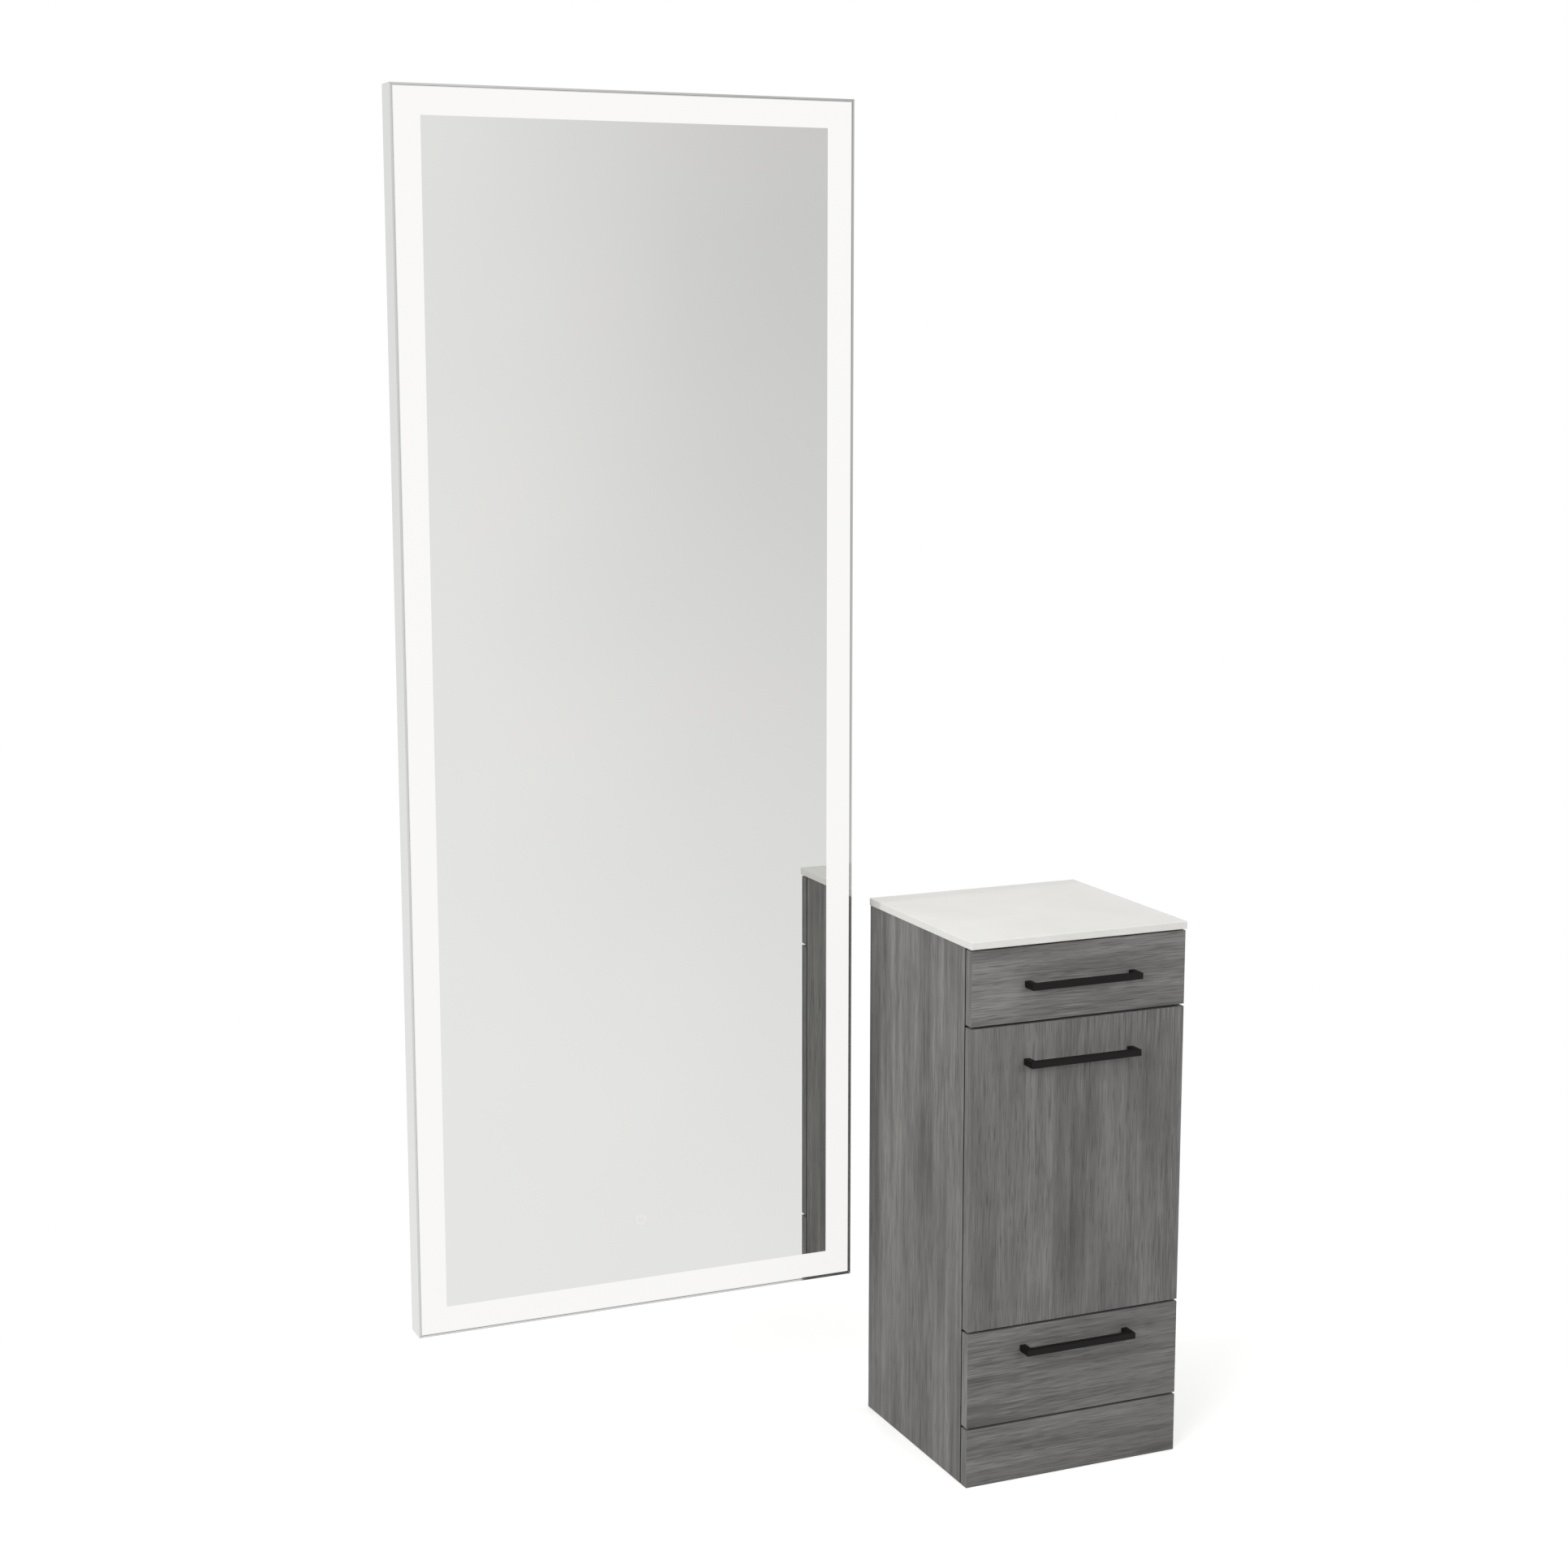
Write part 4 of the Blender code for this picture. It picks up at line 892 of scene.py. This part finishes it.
# Mirror frame: extruded aluminium, mitred at the corners and bright anodised, which leaves a faint even etch
# on a nearly mirror-like skin. Its front lip is flush with the glass.
# The real etch is too fine to show, so it is drawn about a millimetre wide.
ETCH_SIZE = 0.00111
anodised, tree, shader, spot = fresh("anodised_aluminium")
etch = add(tree, "ShaderNodeTexNoise", {"Scale": 1 / ETCH_SIZE, "Detail": 2.0}, {"Vector": spot})
satin = add(tree, "ShaderNodeMapRange", {"To Min": 0.04, "To Max": 0.09}, {"Value": etch.outputs["Fac"]})
wire(
    tree,
    shader,
    {"Base Color": linear("#c0c0be"), "Metallic": 1.0},
    {"Roughness": satin.outputs["Result"]},
)
refinish([f"mirror_frame_{side}" for side in ("left", "right", "bottom", "top")], anodised)


# Mirror glass: a 5 mm pane of lightly tinted float glass, silvered behind, its arrises ground. A 40 mm band
# round it is sand-blasted clear of silver, so that the light behind it shines through evenly. Only a thin
# silvered rim is left outside the band.
BAND = 0.040
RIM = 0.0014
PANE_ARRIS = 0.0003
SILVERED, FROSTED, GROUND = 0, 1, 2
SILVER_CLOUD = 0.35
SILVER_SHADES = ("#d2d3d1", "#d4d3d1")
# The blasted tooth and the grinding are finer in truth, and are drawn as coarse as they need to be to show.
BLAST_SIZE, BLAST_DEPTH = 0.00067, 0.00005
GRIND_SIZE = 0.00083
low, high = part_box("mirror_glass")
pane = block("mirror_pane", low, high)
select_only(pane)
bpy.context.tool_settings.mesh_select_mode = (False, False, True)
bpy.ops.object.mode_set(mode="EDIT")
bpy.ops.mesh.select_all(action="DESELECT")
bpy.ops.object.mode_set(mode="OBJECT")
for face in pane.data.polygons:
    face.select = face.normal.y < -LOOKS_ALONG
    face.material_index = SILVERED if face.select else GROUND
for inset, finish_index in ((RIM, FROSTED), (BAND - RIM, SILVERED)):
    bpy.ops.object.mode_set(mode="EDIT")
    bpy.ops.mesh.inset(thickness=inset)
    bpy.ops.object.mode_set(mode="OBJECT")
    for face in pane.data.polygons:
        if face.select:
            face.material_index = finish_index
silver, tree, shader, spot = fresh("silvered_float_glass")
cloud = add(tree, "ShaderNodeTexNoise", {"Scale": 1 / SILVER_CLOUD, "Detail": 1.0}, {"Vector": spot})
tint = add(
    tree,
    "ShaderNodeValToRGB",
    links={"Fac": cloud.outputs["Fac"]},
    stops=((NOISE_LOW, SILVER_SHADES[0]), (NOISE_HIGH, SILVER_SHADES[1])),
)
wire(tree, shader, {"Metallic": 1.0, "Roughness": 0.0}, {"Base Color": tint.outputs["Color"]})


def lit_frosting(name, strength):
    """Sand-blasted glass with the light behind it: an even white glow over a fine matte tooth."""
    made, tree, shader, spot = fresh(name)
    blast = add(tree, "ShaderNodeTexNoise", {"Scale": 1 / BLAST_SIZE, "Detail": 1.0}, {"Vector": spot})
    bump = add(
        tree,
        "ShaderNodeBump",
        {"Strength": 0.2, "Distance": BLAST_DEPTH},
        {"Height": blast.outputs["Fac"]},
    )
    wire(
        tree,
        shader,
        {
            "Base Color": linear("#3a3a3a"),
            "Roughness": 0.6,
            "Emission Color": linear("#f7f6f4"),
            "Emission Strength": strength,
        },
        {"Normal": bump.outputs["Normal"]},
    )
    return made


ground, tree, shader, spot = fresh("ground_glass_edge")
wheel = add(tree, "ShaderNodeTexNoise", {"Scale": 1 / GRIND_SIZE, "Detail": 1.0}, {"Vector": spot})
matte = add(tree, "ShaderNodeMapRange", {"To Min": 0.28, "To Max": 0.45}, {"Value": wheel.outputs["Fac"]})
wire(tree, shader, {"Base Color": linear("#b9c8c2")}, {"Roughness": matte.outputs["Result"]})
for finish in (silver, lit_frosting("lit_sandblasted_glass", 0.93), ground):
    pane.data.materials.append(finish)
round_edges(pane, PANE_ARRIS, 2)
fit(pane, "mirror")
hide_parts("mirror_glass")


# Touch mark: a ring with a short stroke at its top, blasted through the silver over the touch sensor, so
# that a little of the light shows through.
MARK_RADIUS = 0.0080
MARK_STROKE = 0.0014
MARK_THICKNESS = 0.0001
MARK_STROKE_LOW, MARK_STROKE_HIGH = 0.25 * MARK_RADIUS, 1.02 * MARK_RADIUS
MARK_NOTCH = 0.0028
MARK_CUT = 0.001
MARK_SIDES = 64
sensor_low, sensor_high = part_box("touch_sensor_board")
sensor_x, sensor_z = (sensor_low.x + sensor_high.x) / 2, (sensor_low.z + sensor_high.z) / 2
ring = turned("ring", [(MARK_RADIUS, 0.0), (MARK_RADIUS, MARK_THICKNESS)], MARK_SIDES)
hole_radius = MARK_RADIUS - MARK_STROKE
cut(ring, turned("hole", [(hole_radius, -MARK_CUT), (hole_radius, MARK_CUT)], MARK_SIDES))
notch_low, notch_high = (-MARK_NOTCH, MARK_RADIUS / 2, -MARK_CUT), (MARK_NOTCH, 2 * MARK_RADIUS, MARK_CUT)
cut(ring, block("notch", notch_low, notch_high))
stroke = block(
    "touch_mark",
    (-MARK_STROKE / 2, MARK_STROKE_LOW, 0.0),
    (MARK_STROKE / 2, MARK_STROKE_HIGH, MARK_THICKNESS),
)
bpy.ops.object.select_all(action="DESELECT")
ring.select_set(True)
stroke.select_set(True)
bpy.context.view_layer.objects.active = stroke
bpy.ops.object.join()
mark = bpy.context.object
mark.rotation_euler = (math.radians(90), 0, 0)
mark.location = (sensor_x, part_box("mirror_glass")[0].y, sensor_z)
bpy.ops.object.transform_apply(location=True, rotation=True, scale=True)
fit(mark, "mirror", lit_frosting("lit_touch_mark", 0.84))


# Mirror light: white tape with a light-emitting chip every 17 mm, stuck round the inside of the frame, and
# its driver, a moulded box with a screwed-on lid and a gland at each place where its leads go in.
CHIP_ALONG, CHIP_ACROSS, CHIP_TALL = 0.0028, 0.0035, 0.0007
CHIP_WINDOW = 0.0004
CHIP_PITCH = 1 / 60
TAPE_THICKNESS = 0.0012
LID_THICKNESS = 0.0014
LID_INSET = 0.0035
LID_SCREW_INSET = 0.009
SMALL_HEAD = ((0.0020, 0.0), (0.0023, 0.0004), (0.0021, 0.0009), (0.0012, 0.0012)), 0.0006
GLAND = ((0.0050, 0.0), (0.0050, 0.0030), (0.0042, 0.0034), (0.0042, 0.0075), (0.0030, 0.0082))
GLAND_PLACES = (0.33, 0.67)
MOULDED_CLOUD = 0.0333
MOULDED_TEXTURE_DEPTH = 0.00006


def moulded(name, shades, roughness, texture):
    """A moulded polymer or elastomer: slightly clouded colour, and a fine eroded surface from its tool."""
    made, tree, shader, spot = fresh(name)
    cloud = add(tree, "ShaderNodeTexNoise", {"Scale": 1 / MOULDED_CLOUD, "Detail": 2.0}, {"Vector": spot})
    colours = add(
        tree,
        "ShaderNodeValToRGB",
        links={"Fac": cloud.outputs["Fac"]},
        stops=((NOISE_LOW, shades[0]), (NOISE_HIGH, shades[1])),
    )
    skin = add(tree, "ShaderNodeTexNoise", {"Scale": 1 / texture, "Detail": 1.0}, {"Vector": spot})
    bump = add(
        tree,
        "ShaderNodeBump",
        {"Strength": 0.3, "Distance": MOULDED_TEXTURE_DEPTH},
        {"Height": skin.outputs["Fac"]},
    )
    wire(
        tree,
        shader,
        {"Roughness": roughness},
        {"Base Color": colours.outputs["Color"], "Normal": bump.outputs["Normal"]},
    )
    return made


refinish(("led_strip",), moulded("white_flexible_tape", ("#e9e7df", "#f0eee8"), 0.4, 0.0012))
low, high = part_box("led_strip")
phosphor = moulded("yellow_phosphor_chip", ("#e8d98a", "#f0e39c"), 0.35, 0.0006)
housing = moulded("white_chip_housing", ("#e6e6e4", "#eeeeec"), 0.4, 0.0006)
middle_y, tall, wide = (low.y + high.y) / 2, high.z - low.z, high.x - low.x
rows = {
    "left": ((low.x + TAPE_THICKNESS, middle_y, low.z), (1, 0, 0), (0, 0, 1), tall),
    "right": ((high.x - TAPE_THICKNESS, middle_y, low.z), (-1, 0, 0), (0, 0, 1), tall),
    "bottom": ((low.x, middle_y, low.z + TAPE_THICKNESS), (0, 0, 1), (1, 0, 0), wide),
    "top": ((low.x, middle_y, high.z - TAPE_THICKNESS), (0, 0, -1), (1, 0, 0), wide),
}
for side, (start, facing, along, length) in rows.items():
    half_along, half_across = CHIP_ALONG / 2, CHIP_ACROSS / 2
    chip = block("chip", (-half_along, -half_across, 0), (half_along, half_across, CHIP_TALL))
    for face in chip.data.polygons:
        face.select = face.normal.z > LOOKS_ALONG
    bpy.ops.object.mode_set(mode="EDIT")
    bpy.ops.mesh.inset(thickness=CHIP_WINDOW)
    bpy.ops.mesh.extrude_region_move(TRANSFORM_OT_translate={"value": (0, 0, -CHIP_WINDOW / 2)})
    bpy.ops.object.mode_set(mode="OBJECT")
    for face in chip.data.polygons:
        face.material_index = 1 if face.select else 0
    chip.data.materials.append(housing)
    chip.data.materials.append(phosphor)
    count = int(length / CHIP_PITCH) - 1
    margin = (length - (count - 1) * CHIP_PITCH) / 2
    chip.location = Vector(start) + margin * Vector(along)
    chip.rotation_euler = Vector(facing).to_track_quat("Z", "X" if abs(along[2]) else "Y").to_euler()
    select_only(chip)
    bpy.ops.object.transform_apply(location=True, rotation=True, scale=True)
    bpy.ops.object.modifier_add(type="ARRAY")
    row = chip.modifiers[-1]
    row.count = count
    row.use_relative_offset = False
    row.use_constant_offset = True
    row.constant_offset_displace = Vector(along) * CHIP_PITCH
    bpy.ops.object.modifier_apply(modifier=row.name)
    chip.name = "led_chips_" + side
    fit(chip, "mirror")
white_polymer = moulded("moulded_white_polycarbonate", ("#dcdcd9", "#e2e2df"), 0.45, 0.0009)
refinish(("led_driver",), white_polymer)
low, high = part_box("led_driver")
lid_front = low.y - LID_THICKNESS
lid = block(
    "driver_lid",
    (low.x + LID_INSET, lid_front, low.z + LID_INSET),
    (high.x - LID_INSET, low.y, high.z - LID_INSET),
)
round_edges(lid, LID_THICKNESS / 2)
fit(lid, "mirror", white_polymer)
seats = []
for x in (low.x + LID_SCREW_INSET, high.x - LID_SCREW_INSET):
    seats += [(x, lid_front, low.z + LID_SCREW_INSET), (x, lid_front, high.z - LID_SCREW_INSET)]
screws("driver_lid_screws", SMALL_HEAD, seats, FORWARDS, "mirror")
rubber = moulded("moulded_black_rubber", ("#161616", "#1e1e1d"), 0.7, 0.0008)
middle_y, tall = (low.y + high.y) / 2, high.z - low.z
for side, x, outward in (("left", low.x, -1), ("right", high.x, 1)):
    seats = [(x, middle_y, low.z + part * tall) for part in GLAND_PLACES]
    glands = seated("driver_glands_" + side, turned("gland", GLAND, HEAD_SIDES), seats, (outward, 0, 0))
    fit(glands, "mirror", rubber)
refinish(("power_lead_grommet",), rubber)


# Touch sensor: a small green glass-epoxy circuit board stuck on the back of the glass, with its chip and the
# socket for its lead soldered on.
SENSOR_CHIP_WIDE, SENSOR_CHIP_TALL, SENSOR_CHIP_DEEP = 0.0050, 0.0040, 0.0012
SOCKET_WIDE, SOCKET_TALL, SOCKET_DEEP = 0.0076, 0.0050, 0.0050
SOCKET_WALL, SOCKET_FLOOR = 0.0008, 0.0010
SOCKET_RISE = 0.0012
MOULDED_ROUNDING = 0.0002
solder_mask = moulded("green_solder_mask", ("#17452a", "#1f5232"), 0.35, 0.0010)
refinish(("touch_sensor_board",), solder_mask)
rear = sensor_high.y
sensor_chip = block(
    "sensor_chip",
    (sensor_x - SENSOR_CHIP_WIDE / 2, rear, sensor_z - SENSOR_CHIP_TALL / 2),
    (sensor_x + SENSOR_CHIP_WIDE / 2, rear + SENSOR_CHIP_DEEP, sensor_z + SENSOR_CHIP_TALL / 2),
)
round_edges(sensor_chip, MOULDED_ROUNDING, 2)
fit(sensor_chip, "mirror", moulded("black_epoxy", ("#151515", "#1b1b1a"), 0.5, 0.0006))
socket_low = Vector((sensor_x - SOCKET_WIDE / 2, rear, sensor_low.z + SOCKET_RISE))
socket_high = socket_low + Vector((SOCKET_WIDE, SOCKET_DEEP, SOCKET_TALL))
socket = block("sensor_lead_socket", socket_low, socket_high)
mouth_low = socket_low + Vector((SOCKET_WALL, SOCKET_FLOOR, SOCKET_WALL))
mouth_high = socket_high + Vector((-SOCKET_WALL, SOCKET_FLOOR, -SOCKET_WALL))
cut(socket, block("socket_mouth", mouth_low, mouth_high))
round_edges(socket, MOULDED_ROUNDING, 2)
fit(socket, "mirror", white_polymer)


# Mirror back: a steel pan, powder coated white and screwed round its rim to the frame. Its zinc-plated rail
# hooks over the one screwed to the wall, and two rubber spacers keep the lower corners off the wall.
PAN_SCREW_INSET = 0.0085
SIDE_SCREWS, END_SCREWS = 6, 3
SPACER = ((0.0080, 0.0), (0.0080, 0.0058), (0.0074, 0.0072), (0.0060, 0.0077))
SPACER_INSET = 0.030
SPACER_SIDES = 32
WALL_HEAD = ((0.0046, 0.0), (0.0050, 0.0006), (0.0048, 0.0014), (0.0036, 0.0021), (0.0018, 0.0024)), 0.0010
RAIL_STEEL = 0.002
HOOK_DEPTH = 0.0054
RAIL_SCREW_RISE = 0.012
HANGING_RAIL_SCREWS, HANGING_RAIL_SCREW_PITCH = (-2, -1, 0, 1, 2), 0.100
WALL_RAIL_SCREWS, WALL_RAIL_SCREW_PITCH = (-1, 0, 1), 0.150
refinish(("mirror_back_pan",), powder_coat("white_powder_coat", "#e4e4e2", 0.45, 0.0014, 0.5))
low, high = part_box("mirror_back_pan")
seats = []
for index in range(SIDE_SCREWS):
    part = index / (SIDE_SCREWS - 1)
    z = low.z + PAN_SCREW_INSET + part * (high.z - low.z - 2 * PAN_SCREW_INSET)
    seats += [(low.x + PAN_SCREW_INSET, high.y, z), (high.x - PAN_SCREW_INSET, high.y, z)]
for index in range(1, END_SCREWS - 1):
    x = low.x + index / (END_SCREWS - 1) * (high.x - low.x)
    seats += [(x, high.y, low.z + PAN_SCREW_INSET), (x, high.y, high.z - PAN_SCREW_INSET)]
screws("back_pan_screws", PAN_HEAD, seats, REARWARDS, "mirror")
seats = [(x, high.y, low.z + SPACER_INSET) for x in (low.x + SPACER_INSET, high.x - SPACER_INSET)]
spacers = seated("wall_spacers", turned("spacer", SPACER, SPACER_SIDES), seats, REARWARDS)
fit(spacers, "mirror", rubber)
refinish(("mirror_hanging_rail", "wall_rail"), zinc)
low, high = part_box("mirror_hanging_rail")
middle_x, leaf, height = (low.x + high.x) / 2, high.y - HOOK_DEPTH, high.z - RAIL_SCREW_RISE
seats = [(middle_x + step * HANGING_RAIL_SCREW_PITCH, leaf, height) for step in HANGING_RAIL_SCREWS]
screws("mirror_rail_screws", PAN_HEAD, seats, REARWARDS, "mirror")
low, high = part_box("wall_rail")
middle_x, leaf, height = (low.x + high.x) / 2, high.y - RAIL_STEEL, low.z + RAIL_SCREW_RISE
seats = [(middle_x + step * WALL_RAIL_SCREW_PITCH, leaf, height) for step in WALL_RAIL_SCREWS]
screws("wall_rail_screws", WALL_HEAD, seats, FORWARDS, "cabinet")
